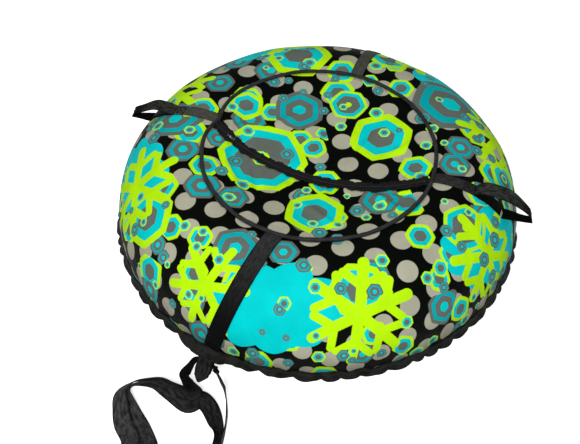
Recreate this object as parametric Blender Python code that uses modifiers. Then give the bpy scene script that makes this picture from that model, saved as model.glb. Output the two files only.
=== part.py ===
"""Inflatable snow tube in a fabric cover, with carry handles, a tow strap and a zip seat.

Units are metres, +Z up. The origin is the centre of the underside, on the ground.
The tow strap runs towards -Y, and the two carry handles lie along X.
"""
import math

import bmesh
import bpy
from mathutils import Vector

# Angles are in degrees. A section angle is 0 on the tube's outer side and 90 on its crest.

# Cover
CROWN_RADIUS = 0.300
SECTION_RADIUS = 0.175
SECTION_DROP = 0.150
COVER_WALL = 0.0012
UNDERSIDE_WALL = 0.0015
SEAM_ANGLE = -14.0
TURN_STEPS = 64
COVER_ROWS = 12
UNDERSIDE_ANGLES = (-24.0, -36.0, -48.0, -60.0, -70.0, -80.0)
UNDERSIDE_FLAT_RADIUS = 0.315
CLEARANCE = 0.0003
MERGE_DISTANCE = 0.0001

# Ruffled binding round the seam
BINDING_REACH = 0.0132
BINDING_THICKNESS = 0.0030
BINDING_EDGE_THICKNESS = 0.0020
RUFFLE_HEIGHT = 0.0045
RUFFLES = 48
STEPS_PER_RUFFLE = 6

# Piping round the seat, set in from the crown
PIPING_INSET = 0.032
PIPING_RADIUS = 0.004
PIPING_LIFT = 0.0010
PIPING_STEPS = 64

# Seat cloth
SEAT_WALL = 0.0012
SEAT_SAG = 0.004
SEAT_COLUMNS = 24
SEAT_ROWS = 6
SEAT_EDGE_GAP = 0.0005
SEAT_TAPE_GAP = 0.0008
SEAT_FRONT_SPAN = (184.0, 356.0)
SEAT_REAR_SPAN = (179.0, 1.0)

# Zip, on a circular arc in a plane tilted down towards the front
ZIP_CHORD_GAP = 0.0015
ZIP_END_GAP = 0.0086
ZIP_SAGITTA = 0.072
ZIP_TILT = 25.0
ZIP_STEPS = 32
ZIP_SLOT_HALF = 0.0008
TOOTH_ROW_WIDTH = 0.0022
TOOTH_ROW_HEIGHT = 0.0030
TAPE_WIDTH = 0.0042
TAPE_THICKNESS = 0.0010
ZIP_STOP_LENGTH = 0.004

# Zip slider, parked a way from the zip's left end, and its pull
SLIDER_PARK = 0.060
SLIDER_LENGTH = 0.011
SLIDER_WIDTH = 0.0080
SLIDER_PLATE = 0.0014
SLIDER_NECK_LENGTH = 0.005
SLIDER_NECK_WIDTH = 0.0010
SLIDER_LUG_LENGTH = 0.003
SLIDER_LUG_WIDTH = 0.0011
SLIDER_LUG_HEIGHT = 0.0030
PULL_BARREL_RADIUS = 0.0010
PULL_BARREL_LENGTH = 0.0036
PULL_LENGTH = 0.022
PULL_WIDTH = 0.006
PULL_THICKNESS = 0.0014

# Webbing straps sewn to the cover
TOW_STRAP_WIDTH = 0.040
SIDE_STRAP_WIDTH = 0.030
STRAP_THICKNESS = 0.0018
SIDE_STRAP_YAW = 2.0
TOW_STRAP_DRIFT = 9.0

# Carry handles
HANDLE_ROOT_ANGLE = 69.0
RIGHT_HANDLE_REACH = 0.128
LEFT_HANDLE_REACH = 0.120
HANDLE_FOLD_RADIUS = 0.006
RIGHT_HANDLE_TIP_DROP = 0.042
LEFT_HANDLE_TIP_DROP = 0.060
HANDLE_LEAVES_COVER_ANGLE = 38.0
STITCH_LENGTH = 0.022
STITCH_WIDTH = 0.022
STITCH_THREAD = 0.0016
STITCH_HEIGHT = 0.0006

# Tow loop under the seam
TOW_LOOP_WIDTH = 0.036
TOW_LOOP_LENGTH = 0.062
TOW_LOOP_HALF_GAP = 0.0046
TOW_LOOP_SLOPE = 50.0
TOW_LOOP_ROOT_LENGTH = 0.012

# Tow leash, one closed sling of webbing that hangs from the loop and lies on the ground
LEASH_WIDTH = 0.040
LEASH_THICKNESS = 0.0024
LEASH_STEPS = 82
# Hand-chosen points of the sling's middle line: x, y, z, roll in degrees and share of the width.
LEASH_ROUTE = (
    (-0.078, -0.4916, 0.0985, 50, 0.45),
    (-0.1016, -0.4878, 0.0985, 51, 0.42),
    (-0.111, -0.506, 0.087, 58, 0.55),
    (-0.116, -0.521, 0.067, 66, 0.88),
    (-0.105, -0.529, 0.056, 66, 1.0),
    (-0.094, -0.538, 0.05, 76, 1.0),
    (-0.101, -0.546, 0.043, 90, 1.0),
    (-0.129, -0.537, 0.039, 104, 1.0),
    (-0.167, -0.528, 0.034, 115, 1.0),
    (-0.198, -0.538, 0.033, 120, 1.0),
    (-0.229, -0.558, 0.033, 127, 1.0),
    (-0.244, -0.59, 0.028, 140, 1.0),
    (-0.23, -0.621, 0.02, 155, 1.0),
    (-0.208, -0.653, 0.017, 168, 1.0),
    (-0.172, -0.688, 0.017, 172, 1.0),
    (-0.158, -0.752, 0.022, 232, 1.0),
    (-0.13, -0.774, 0.023, 270, 1.0),
    (-0.1, -0.752, 0.021, 312, 1.0),
    (-0.124, -0.691, 0.011, 350, 1.0),
    (-0.163, -0.649, 0.009, 357, 1.0),
    (-0.208, -0.615, 0.009, 374, 1.0),
    (-0.238, -0.588, 0.015, 398, 1.0),
    (-0.236, -0.563, 0.018, 411, 1.0),
    (-0.213, -0.546, 0.017, 403, 1.0),
    (-0.181, -0.537, 0.016, 388, 1.0),
    (-0.143, -0.543, 0.013, 358, 1.0),
    (-0.104, -0.55, 0.011, 344, 1.0),
    (-0.077, -0.541, 0.011, 346, 1.0),
    (-0.047, -0.55, 0.0115, 362, 1.0),
    (-0.018, -0.583, 0.016, 396, 1.0),
    (0.0, -0.619, 0.0215, 438, 1.0),
    (0.006, -0.68, 0.0215, 446, 1.0),
    (0.024, -0.706, 0.022, 450, 1.0),
    (0.042, -0.682, 0.022, 456, 1.0),
    (0.014, -0.627, 0.022, 452, 1.0),
    (0.006, -0.589, 0.022, 446, 1.0),
    (-0.008, -0.545, 0.026, 451, 1.0),
    (-0.026, -0.512, 0.04, 456, 0.95),
    (-0.038, -0.498, 0.0575, 464, 0.7),
    (-0.049, -0.493, 0.0785, 462, 0.34),
    (-0.0542, -0.4954, 0.0985, 412, 0.42),
)

# Inner tube and valve
TUBE_STEPS = 32
TUBE_ROWS = 6
TUBE_SLACK = 0.0023
TUBE_REST_GAP = 0.0006
TUBE_WALL = 0.0015
VALVE_PATCH_RADIUS = 0.012
VALVE_PATCH_THICKNESS = 0.003
VALVE_BORE_RADIUS = 0.0030
VALVE_STEM_RADIUS = 0.0042
VALVE_STEM_BORE = 0.0028
VALVE_STEM_LENGTH = 0.030
VALVE_CORE_RADIUS = 0.0022
VALVE_CORE_LENGTH = 0.020
VALVE_CAP_RADIUS = 0.0060
VALVE_CAP_WALL = 0.0014
VALVE_CAP_LENGTH = 0.012
VALVE_CAP_OVERLAP = 0.009
VALVE_FACE_ANGLE = 170.0
ROUND_SIDES = 20

# Finish: a colour, a roughness and a metallic value each
PRINTED_CLOTH = ((0.055, 0.080, 0.070), 0.55, 0.0)
BLACK_CLOTH = ((0.010, 0.010, 0.010), 0.45, 0.0)
GREY_WEBBING = ((0.045, 0.045, 0.043), 0.70, 0.0)
BLACK_WEBBING = ((0.012, 0.012, 0.012), 0.70, 0.0)
BLACK_PLASTIC = ((0.010, 0.010, 0.010), 0.35, 0.0)
BLACK_RUBBER = ((0.015, 0.015, 0.015), 0.60, 0.0)
GREY_METAL = ((0.250, 0.250, 0.250), 0.30, 1.0)
BRASS = ((0.600, 0.450, 0.180), 0.30, 1.0)
SHARP_ANGLE = 40.0
MITRE_SHARE = 0.3
FOLD_SHARES = (0.0, 0.2, 0.4, 0.6, 0.8, 1.0)
RIGHT_HANDLE_TOP_SHARES = (
    (0.975, -0.20), (0.84, -0.07), (0.65, 0.04), (0.44, 0.09), (0.21, 0.105), (0.08, 0.05),
)
LEFT_HANDLE_TOP_SHARES = (
    (0.93, -0.378), (0.76, -0.262), (0.58, -0.12), (0.42, -0.0325), (0.21, -0.003), (0.08, -0.003),
)

# Values worked out from the sizes above
PIPING_RING_RADIUS = CROWN_RADIUS - PIPING_INSET
TOP_EDGE_RADIUS = PIPING_RING_RADIUS + PIPING_RADIUS + CLEARANCE
TOP_EDGE_ANGLE = math.degrees(math.acos((TOP_EDGE_RADIUS - CROWN_RADIUS) / SECTION_RADIUS))
SEAM_GAP_ANGLE = math.degrees(CLEARANCE / SECTION_RADIUS)
SEAM_HEIGHT = SECTION_DROP + SECTION_DROP * math.sin(math.radians(SEAM_ANGLE))
SEAT_HEIGHT = SECTION_DROP + SECTION_RADIUS * math.sin(math.radians(TOP_EDGE_ANGLE))
PIPING_HEIGHT = SEAT_HEIGHT + PIPING_LIFT - COVER_WALL / 2
SEAT_EDGE_RADIUS = PIPING_RING_RADIUS - PIPING_RADIUS - SEAT_EDGE_GAP
SEAT_EDGE_HEIGHT = PIPING_HEIGHT - COVER_WALL
BINDING_OUTER_RADIUS = CROWN_RADIUS + SECTION_RADIUS * math.cos(math.radians(SEAM_ANGLE)) + BINDING_REACH
ZIP_HALF_CHORD = SEAT_EDGE_RADIUS - ZIP_CHORD_GAP
ZIP_RADIUS = (ZIP_HALF_CHORD ** 2 + ZIP_SAGITTA ** 2) / (2 * ZIP_SAGITTA)
ZIP_END_ANGLE = math.degrees(math.asin(ZIP_HALF_CHORD / ZIP_RADIUS) - ZIP_END_GAP / ZIP_RADIUS)
SLIDER_ANGLE = math.degrees(SLIDER_PARK / ZIP_RADIUS) - ZIP_END_ANGLE
TOOTH_OUTER = ZIP_SLOT_HALF + TOOTH_ROW_WIDTH
TAPE_INNER = TOOTH_OUTER + CLEARANCE
TAPE_OUTER = TAPE_INNER + TAPE_WIDTH
STRAP_TOP = CLEARANCE + STRAP_THICKNESS
TOW_LOOP_AZIMUTH = -90.0 - TOW_STRAP_DRIFT
TOW_LOOP_ROOT_SET_OUT = (2 * STRAP_THICKNESS + CLEARANCE) * math.sin(math.radians(TOW_LOOP_SLOPE))
TOW_LOOP_ROOT = (BINDING_OUTER_RADIUS + CLEARANCE + TOW_LOOP_ROOT_SET_OUT, SEAM_HEIGHT + STRAP_THICKNESS)
TUBE_RADIUS = SECTION_RADIUS - COVER_WALL - TUBE_SLACK
TUBE_DROP = SECTION_DROP - UNDERSIDE_WALL - TUBE_REST_GAP
VALVE_HALF_FACE = math.pi / TUBE_STEPS
VALVE_ANGLE = 90.0 + math.degrees(VALVE_HALF_FACE)
VALVE_CORNER_RADIUS = CROWN_RADIUS + TUBE_RADIUS * math.cos(math.radians(VALVE_FACE_ANGLE))
VALVE_FACE_RADIUS = VALVE_CORNER_RADIUS * math.cos(VALVE_HALF_FACE)


def section_point(angle, grow=0.0):
    """Radius and height at a section angle, on the cover's skin or `grow` outside it."""
    half_height = SECTION_RADIUS if angle >= 0 else SECTION_DROP
    turn = math.radians(angle)
    radius = CROWN_RADIUS + (SECTION_RADIUS + grow) * math.cos(turn)
    return radius, SECTION_DROP + (half_height + grow) * math.sin(turn)


def tube_point(angle):
    """Radius and height at a section angle on the inner tube."""
    half_height = TUBE_RADIUS if angle >= 0 else TUBE_DROP
    turn = math.radians(angle)
    return CROWN_RADIUS + TUBE_RADIUS * math.cos(turn), SECTION_DROP + half_height * math.sin(turn)


def spread(start, end, steps):
    """Evenly spaced values from start to end, both included."""
    return [start + (end - start) * i / steps for i in range(steps + 1)]


def cover_angles(start, end):
    """Section angles for a strap: the cover's own rows between two angles, and their middles."""
    rows = spread(TOP_EDGE_ANGLE, SEAM_ANGLE + SEAM_GAP_ANGLE, 2 * COVER_ROWS)
    between = [angle for angle in rows if end < angle < start]
    return [start] + between + [end]


def around(radius, height, azimuth):
    """A point at a radius and a height, at an azimuth in degrees from +X."""
    turn = math.radians(azimuth)
    return Vector((radius * math.cos(turn), radius * math.sin(turn), height))


def collection(name):
    group = bpy.data.collections.new(name)
    bpy.context.scene.collection.children.link(group)
    return group


def make_material(name, colour, roughness, metallic=0.0):
    material = bpy.data.materials.new(name)
    material.use_nodes = True
    shader = material.node_tree.nodes["Principled BSDF"]
    shader.inputs["Base Color"].default_value = (*colour, 1.0)
    shader.inputs["Roughness"].default_value = roughness
    shader.inputs["Metallic"].default_value = metallic
    return material


def place(name, data, look, location=(0, 0, 0), rotation=(0, 0, 0), parent=None):
    """Link an object to the part with its own material; `look` is colour, roughness, metallic."""
    obj = bpy.data.objects.new(name, data)
    obj.location = location
    obj.rotation_euler = [math.radians(turn) for turn in rotation]
    obj.parent = parent
    data.materials.append(make_material(name, *look))
    parts.objects.link(obj)
    return obj


def finish_smooth(mesh):
    mesh.shade_smooth()
    mesh.set_sharp_from_angle(angle=math.radians(SHARP_ANGLE))


def add_wall(obj, thickness, offset):
    wall = obj.modifiers.new("Wall", 'SOLIDIFY')
    wall.thickness = thickness
    wall.offset = offset
    wall.use_even_offset = True
    return wall


def add_screw(obj, steps):
    screw = obj.modifiers.new("Turn", 'SCREW')
    screw.steps = steps
    screw.render_steps = steps
    screw.use_merge_vertices = True
    screw.merge_threshold = MERGE_DISTANCE
    screw.use_smooth_shade = True
    return screw


def turned(name, profile, look, steps=TURN_STEPS, closed=False, **placing):
    """A profile of radius and height pairs, from the top down its outer side, turned about Z."""
    mesh = bpy.data.meshes.new(name)
    count = len(profile)
    edges = [(i, i + 1) for i in range(count - 1)]
    if closed:
        edges.append((count - 1, 0))
    mesh.from_pydata([(radius, 0, height) for radius, height in profile], edges, [])
    obj = place(name, mesh, look, **placing)
    add_screw(obj, steps)
    return obj


def outline_solid(name, outlines, depth, look, **placing):
    """Closed outlines in the object's XY plane, the later ones holes, extruded to a depth."""
    curve = bpy.data.curves.new(name, 'CURVE')
    curve.dimensions = '2D'
    curve.fill_mode = 'BOTH'
    curve.extrude = depth / 2
    for outline in outlines:
        spline = curve.splines.new('POLY')
        spline.points.add(len(outline) - 1)
        for point, (x, y) in zip(spline.points, outline):
            point.co = (x, y, 0, 1)
        spline.use_cyclic_u = True
    return place(name, curve, look, **placing)


def offset_path(path, distance):
    """The open path moved sideways by a distance, to its left for a positive one."""
    moved = []
    for i, (x, y) in enumerate(path):
        before = Vector(path[max(i - 1, 0)])
        after = Vector(path[min(i + 1, len(path) - 1)])
        here = Vector((x, y))
        sides = [side.normalized() for side in (here - before, after - here) if side.length > 0]
        along = sum(sides, Vector((0, 0))).normalized()
        stretch = 1 / max(along.dot(sides[0]), MITRE_SHARE)
        moved.append((x - along.y * distance * stretch, y + along.x * distance * stretch))
    return moved


def band_outline(path, thickness):
    """The outline of a band of a thickness whose middle runs along an open path."""
    return offset_path(path, thickness / 2) + offset_path(path, -thickness / 2)[::-1]


def loft(name, rings, look, closed=False, **placing):
    """A solid through rings of four corners, closed on itself or with a face on both ends."""
    mesh = bpy.data.meshes.new(name)
    build = bmesh.new()
    rows = [[build.verts.new(corner) for corner in ring] for ring in rings]
    onward = rows[1:] + rows[:1] if closed else rows[1:]
    for near, far in zip(rows, onward):
        for i in range(4):
            j = (i + 1) % 4
            build.faces.new((near[i], near[j], far[j], far[i]))
    if not closed:
        build.faces.new(rows[0])
        build.faces.new(rows[-1])
    bmesh.ops.recalc_face_normals(build, faces=build.faces)
    build.to_mesh(mesh)
    build.free()
    finish_smooth(mesh)
    return place(name, mesh, look, **placing)


def band_ring(centre, across, out):
    """Four corners of a band's cross-section, from its half width and half thickness vectors."""
    return (centre - across - out, centre + across - out, centre + across + out, centre - across + out)


def box_piece(build, size, centre):
    """Add a box of a size at a centre to a bmesh."""
    box = bmesh.ops.create_cube(build, size=1)
    bmesh.ops.scale(build, verts=box["verts"], vec=size)
    bmesh.ops.translate(build, verts=box["verts"], vec=centre)


def mesh_object(name, build, look, **placing):
    mesh = bpy.data.meshes.new(name)
    build.to_mesh(mesh)
    build.free()
    return place(name, mesh, look, **placing)


def as_tool(obj):
    """Turn a piece into a hidden tool for a Boolean, outside the part's collection."""
    parts.objects.unlink(obj)
    tools.objects.link(obj)
    obj.hide_render = True
    obj.display_type = 'WIRE'
    return obj


def boolean(obj, tool, operation):
    change = obj.modifiers.new(operation.title(), 'BOOLEAN')
    change.operation = operation
    change.object = as_tool(tool)
    change.solver = 'EXACT'


def make_covers():
    top = spread(TOP_EDGE_ANGLE, SEAM_ANGLE + SEAM_GAP_ANGLE, COVER_ROWS)
    cover = turned("top_cover", [section_point(angle) for angle in top], PRINTED_CLOTH)
    add_wall(cover, COVER_WALL, -1)
    bottom = [section_point(angle) for angle in (SEAM_ANGLE - SEAM_GAP_ANGLE, *UNDERSIDE_ANGLES)]
    bottom += [(UNDERSIDE_FLAT_RADIUS, 0), (0, 0)]
    underside = turned("bottom_cover", bottom, BLACK_CLOTH)
    add_wall(underside, UNDERSIDE_WALL, -1)


def make_binding():
    """A flat-rooted ring whose outer edge waves up and down."""
    root_angle = math.degrees(math.asin((SEAM_HEIGHT + BINDING_THICKNESS / 2) / SECTION_DROP - 1))
    root = section_point(root_angle, CLEARANCE)[0]
    steps = RUFFLES * STEPS_PER_RUFFLE
    rings = []
    for i in range(steps):
        azimuth = 360 * i / steps
        middle = SEAM_HEIGHT + RUFFLE_HEIGHT * math.sin(math.radians(azimuth * RUFFLES))
        half_root, half_edge = BINDING_THICKNESS / 2, BINDING_EDGE_THICKNESS / 2
        rings.append((
            around(root, SEAM_HEIGHT - half_root, azimuth),
            around(BINDING_OUTER_RADIUS, middle - half_edge, azimuth),
            around(BINDING_OUTER_RADIUS, middle + half_edge, azimuth),
            around(root, SEAM_HEIGHT + half_root, azimuth),
        ))
    loft("rim_binding", rings, BLACK_WEBBING, closed=True)


def make_piping():
    curve = bpy.data.curves.new("seat_piping", 'CURVE')
    curve.dimensions = '3D'
    curve.bevel_depth = PIPING_RADIUS
    curve.bevel_resolution = 2
    spline = curve.splines.new('POLY')
    spline.points.add(PIPING_STEPS - 1)
    for i, point in enumerate(spline.points):
        point.co = (*around(PIPING_RING_RADIUS, 0, 360 * i / PIPING_STEPS), 1)
    spline.use_cyclic_u = True
    place("seat_piping", curve, GREY_WEBBING, location=(0, 0, PIPING_HEIGHT))


def zip_point(angle, radius):
    """A point in the tilted plane of the zip, at a swing angle and a radius about its axis."""
    turn = math.radians(angle)
    local = Vector((radius * math.sin(turn), -radius * math.cos(turn), 0))
    return zip_axis.matrix_basis @ local


def seat_panel(name, tape_radius, span):
    """Cloth ruled from the zip's tape to half of the piping ring, with a little sag."""
    first, last = span
    mesh = bpy.data.meshes.new(name)
    build = bmesh.new()
    columns = []
    for i in range(SEAT_COLUMNS + 1):
        share = i / SEAT_COLUMNS
        inner = zip_point(ZIP_END_ANGLE * (2 * share - 1), tape_radius)
        outer = around(SEAT_EDGE_RADIUS, SEAT_EDGE_HEIGHT, first + (last - first) * share)
        column = []
        for j in range(SEAT_ROWS + 1):
            across = j / SEAT_ROWS
            dip = SEAT_SAG * math.sin(math.pi * across) * math.sin(math.pi * share)
            column.append(build.verts.new(inner.lerp(outer, across) - Vector((0, 0, dip))))
        columns.append(column)
    for near, far in zip(columns, columns[1:]):
        for j in range(SEAT_ROWS):
            build.faces.new((near[j], near[j + 1], far[j + 1], far[j]))
    bmesh.ops.recalc_face_normals(build, faces=build.faces)
    build.to_mesh(mesh)
    build.free()
    mesh.shade_smooth()
    panel = place(name, mesh, PRINTED_CLOTH)
    add_wall(panel, SEAT_WALL, 0)


def make_seat():
    front_radius = ZIP_RADIUS + TAPE_OUTER + SEAT_TAPE_GAP
    rear_radius = ZIP_RADIUS - TAPE_OUTER - SEAT_TAPE_GAP
    seat_panel("seat_front_panel", front_radius, SEAT_FRONT_SPAN)
    seat_panel("seat_rear_panel", rear_radius, SEAT_REAR_SPAN)


def arc_plate(name, inner, outer, height, look, start=-ZIP_END_ANGLE, end=ZIP_END_ANGLE, steps=ZIP_STEPS):
    """A flat strip bent along the zip's arc, between two radii about the zip's axis."""
    outline = []
    for radius, angles in ((outer, spread(start, end, steps)), (inner, spread(end, start, steps))):
        for angle in angles:
            turn = math.radians(angle)
            outline.append((radius * math.sin(turn), -radius * math.cos(turn)))
    return outline_solid(name, [outline], height, look, parent=zip_axis)


def make_zip_strips():
    for side, sign in (("front", 1), ("rear", -1)):
        near, far = sorted((ZIP_RADIUS + sign * ZIP_SLOT_HALF, ZIP_RADIUS + sign * TOOTH_OUTER))
        arc_plate("zipper_teeth_" + side, near, far, TOOTH_ROW_HEIGHT, BLACK_PLASTIC)
        near, far = sorted((ZIP_RADIUS + sign * TAPE_INNER, ZIP_RADIUS + sign * TAPE_OUTER))
        arc_plate("zipper_tape_" + side, near, far, TAPE_THICKNESS, BLACK_WEBBING)
    stop_angle = math.degrees(ZIP_STOP_LENGTH / ZIP_RADIUS)
    half = ZIP_SLOT_HALF - CLEARANCE
    for side, end in (("left", -ZIP_END_ANGLE), ("right", ZIP_END_ANGLE)):
        start = end - math.copysign(stop_angle, end)
        low, high = sorted((start, end))
        inner, outer = ZIP_RADIUS - half, ZIP_RADIUS + half
        arc_plate("zipper_stop_" + side, inner, outer, TOOTH_ROW_HEIGHT, BLACK_PLASTIC, low, high, 2)


def make_slider():
    """Two plates joined by a neck in the slot, with two lugs that hold the pull."""
    neck_half = TOOTH_ROW_HEIGHT / 2 + CLEARANCE
    plate_middle = neck_half + SLIDER_PLATE / 2
    lug_across = PULL_BARREL_LENGTH / 2 + CLEARANCE + SLIDER_LUG_WIDTH / 2
    lug_height = SLIDER_PLATE / 2 + SLIDER_LUG_HEIGHT
    boxes = (
        ((SLIDER_LENGTH, SLIDER_WIDTH, SLIDER_PLATE), (0, 0, plate_middle)),
        ((SLIDER_LENGTH, SLIDER_WIDTH, SLIDER_PLATE), (0, 0, -plate_middle)),
        ((SLIDER_NECK_LENGTH, SLIDER_NECK_WIDTH, 2 * plate_middle), (0, 0, 0)),
        ((SLIDER_LUG_LENGTH, SLIDER_LUG_WIDTH, lug_height), (0, lug_across, plate_middle + lug_height / 2)),
        ((SLIDER_LUG_LENGTH, SLIDER_LUG_WIDTH, lug_height), (0, -lug_across, plate_middle + lug_height / 2)),
    )
    pieces = []
    for i, (size, centre) in enumerate(boxes):
        build = bmesh.new()
        box_piece(build, size, Vector(centre) - Vector((0, ZIP_RADIUS, 0)))
        name = "zipper_slider" if i == 0 else "slider_tool_" + str(i)
        pieces.append(mesh_object(name, build, GREY_METAL, parent=zip_axis, rotation=(0, 0, SLIDER_ANGLE)))
    for tool in pieces[1:]:
        boolean(pieces[0], tool, 'UNION')
    barrel_height = neck_half + SLIDER_PLATE + SLIDER_LUG_HEIGHT - PULL_BARREL_RADIUS
    return barrel_height


def make_pull(barrel_height):
    """A flat tab on a barrel, lying towards the closed end of the zip."""
    turn = math.radians(SLIDER_ANGLE)
    pivot = Vector((ZIP_RADIUS * math.sin(turn), -ZIP_RADIUS * math.cos(turn), barrel_height))
    placing = {"parent": zip_axis, "location": pivot, "rotation": (0, 0, SLIDER_ANGLE)}
    build = bmesh.new()
    made = bmesh.ops.create_cone(
        build, cap_ends=True, segments=ROUND_SIDES,
        radius1=PULL_BARREL_RADIUS, radius2=PULL_BARREL_RADIUS, depth=PULL_BARREL_LENGTH)
    for vert in made["verts"]:
        vert.co = (vert.co.x, vert.co.z, -vert.co.y)
    barrel = mesh_object("pull_barrel_tool", build, GREY_METAL, **placing)
    neck_half = PULL_BARREL_LENGTH / 2
    half = PULL_WIDTH / 2
    shoulder = -SLIDER_LENGTH / 2
    outline = [(0, -neck_half), (0, neck_half), (shoulder, neck_half), (shoulder - neck_half, half)]
    outline += [(-PULL_LENGTH + half / 2, half), (-PULL_LENGTH, half / 2)]
    outline += [(-PULL_LENGTH, -half / 2), (-PULL_LENGTH + half / 2, -half)]
    outline += [(shoulder - neck_half, -half), (shoulder, -neck_half)]
    flat = outline_solid("zipper_pull_outline", [outline], PULL_THICKNESS, GREY_METAL, **placing)
    pull = solid_from_curve(flat, "zipper_pull", GREY_METAL)
    boolean(pull, barrel, 'UNION')


def solid_from_curve(curve_object, name, look):
    """A mesh object with the curve's shape and place, its caps welded; the curve is removed."""
    bpy.context.view_layer.update()
    depsgraph = bpy.context.evaluated_depsgraph_get()
    mesh = bpy.data.meshes.new_from_object(curve_object.evaluated_get(depsgraph))
    build = bmesh.new()
    build.from_mesh(mesh)
    bmesh.ops.remove_doubles(build, verts=build.verts, dist=MERGE_DISTANCE)
    build.to_mesh(mesh)
    build.free()
    mesh.materials.clear()
    solid = place(name, mesh, look)
    solid.matrix_world = curve_object.matrix_world.copy()
    bpy.data.objects.remove(curve_object)
    return solid


def strap_outline(start, end):
    """Side outline of a strap that lies on the cover between two section angles."""
    angles = cover_angles(start, end)
    upper = [section_point(angle, STRAP_TOP) for angle in angles]
    lower = [section_point(angle, CLEARANCE) for angle in angles]
    return upper + lower[::-1]


def make_planar_straps():
    end = SEAM_ANGLE + math.degrees((BINDING_THICKNESS + CLEARANCE) / SECTION_DROP)
    runs = (
        ("rear_strap", 90.0, end),
        ("right_strap", SIDE_STRAP_YAW, HANDLE_ROOT_ANGLE),
        ("left_strap", 180.0 - SIDE_STRAP_YAW, HANDLE_ROOT_ANGLE),
    )
    for name, yaw, last in runs:
        outline = strap_outline(TOP_EDGE_ANGLE, last)
        outline_solid(name, [outline], SIDE_STRAP_WIDTH, GREY_WEBBING, rotation=(90, 0, yaw))


def make_tow_strap():
    """A wide strap that drifts sideways as it comes down to the seam."""
    last = SEAM_ANGLE + math.degrees((BINDING_THICKNESS + CLEARANCE) / SECTION_DROP)
    rings = []
    for angle in cover_angles(TOP_EDGE_ANGLE, last):
        share = (TOP_EDGE_ANGLE - angle) / (TOP_EDGE_ANGLE - last)
        azimuth = -90.0 - TOW_STRAP_DRIFT * share
        inner = around(*section_point(angle, CLEARANCE), azimuth)
        outer = around(*section_point(angle, STRAP_TOP), azimuth)
        across = around(TOW_STRAP_WIDTH / 2, 0, azimuth + 90.0)
        rings.append(band_ring((inner + outer) / 2, across, (outer - inner) / 2))
    loft("tow_strap", rings, GREY_WEBBING)


def handle_path(reach, tip_drop, top_shares):
    """A handle's middle line in its upright plane, as radius and height pairs."""
    lower_lift = CLEARANCE + STRAP_THICKNESS / 2
    upper_lift = lower_lift + STRAP_THICKNESS + CLEARANCE
    root_radius, root_height = section_point(HANDLE_ROOT_ANGLE, upper_lift)
    start = HANDLE_ROOT_ANGLE - SEAM_GAP_ANGLE
    upper_start = start - math.degrees(STRAP_THICKNESS / SECTION_RADIUS)
    path = [section_point(angle, lower_lift) for angle in cover_angles(start, HANDLE_LEAVES_COVER_ANGLE)]
    tip_radius = root_radius + reach
    tip_height = root_height - tip_drop
    for step in FOLD_SHARES:
        turn = math.radians(-90 + 180 * step)
        fold = HANDLE_FOLD_RADIUS
        path.append((tip_radius - fold + fold * math.cos(turn), tip_height + fold * math.sin(turn)))
    for reach_share, rise_share in top_shares:
        path.append((root_radius + reach * reach_share, root_height + reach * rise_share))
    path.append(section_point(upper_start, upper_lift))
    return path


def make_handles():
    """Loops of webbing that lift about the root, where they are sewn to the side straps."""
    pivot_radius, pivot_height = section_point(HANDLE_ROOT_ANGLE, STRAP_TOP)
    right_path = handle_path(RIGHT_HANDLE_REACH, RIGHT_HANDLE_TIP_DROP, RIGHT_HANDLE_TOP_SHARES)
    left_path = handle_path(LEFT_HANDLE_REACH, LEFT_HANDLE_TIP_DROP, LEFT_HANDLE_TOP_SHARES)
    sides = (
        ("right_handle", SIDE_STRAP_YAW, right_path),
        ("left_handle", 180.0 - SIDE_STRAP_YAW, left_path),
    )
    for name, yaw, path in sides:
        outline = band_outline(path, STRAP_THICKNESS)
        local = [(radius - pivot_radius, height - pivot_height) for radius, height in outline]
        pivot = around(pivot_radius, pivot_height, yaw)
        outline_solid(name, [local], SIDE_STRAP_WIDTH, GREY_WEBBING, location=pivot, rotation=(90, 0, yaw))


def make_box_stitches():
    """A sewn square with a cross in it on each side strap, as raised thread."""
    middle = HANDLE_ROOT_ANGLE + math.degrees((STITCH_LENGTH / 2 + 2 * STRAP_TOP) / SECTION_RADIUS)
    radius, height = section_point(middle, STRAP_TOP + CLEARANCE + STITCH_HEIGHT / 2)
    x, y, thread = STITCH_LENGTH / 2, STITCH_WIDTH / 2, STITCH_THREAD
    frame = [(-x, -y), (x, -y), (x, y), (-x, y)]
    long_inset, short_inset = 2 * thread, thread
    holes = [
        [(-x + long_inset, -y + short_inset), (x - long_inset, -y + short_inset), (0, -thread)],
        [(x - long_inset, y - short_inset), (-x + long_inset, y - short_inset), (0, thread)],
        [(-x + short_inset, y - long_inset), (-x + short_inset, -y + long_inset), (-thread, 0)],
        [(x - short_inset, -y + long_inset), (x - short_inset, y - long_inset), (thread, 0)],
    ]
    for name, yaw in (("right_box_stitch", SIDE_STRAP_YAW), ("left_box_stitch", 180.0 - SIDE_STRAP_YAW)):
        place_at = around(radius, height, yaw)
        outline_solid(
            name, [frame] + holes, STITCH_HEIGHT, GREY_WEBBING,
            location=place_at, rotation=(0, 90.0 - middle, yaw))


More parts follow.
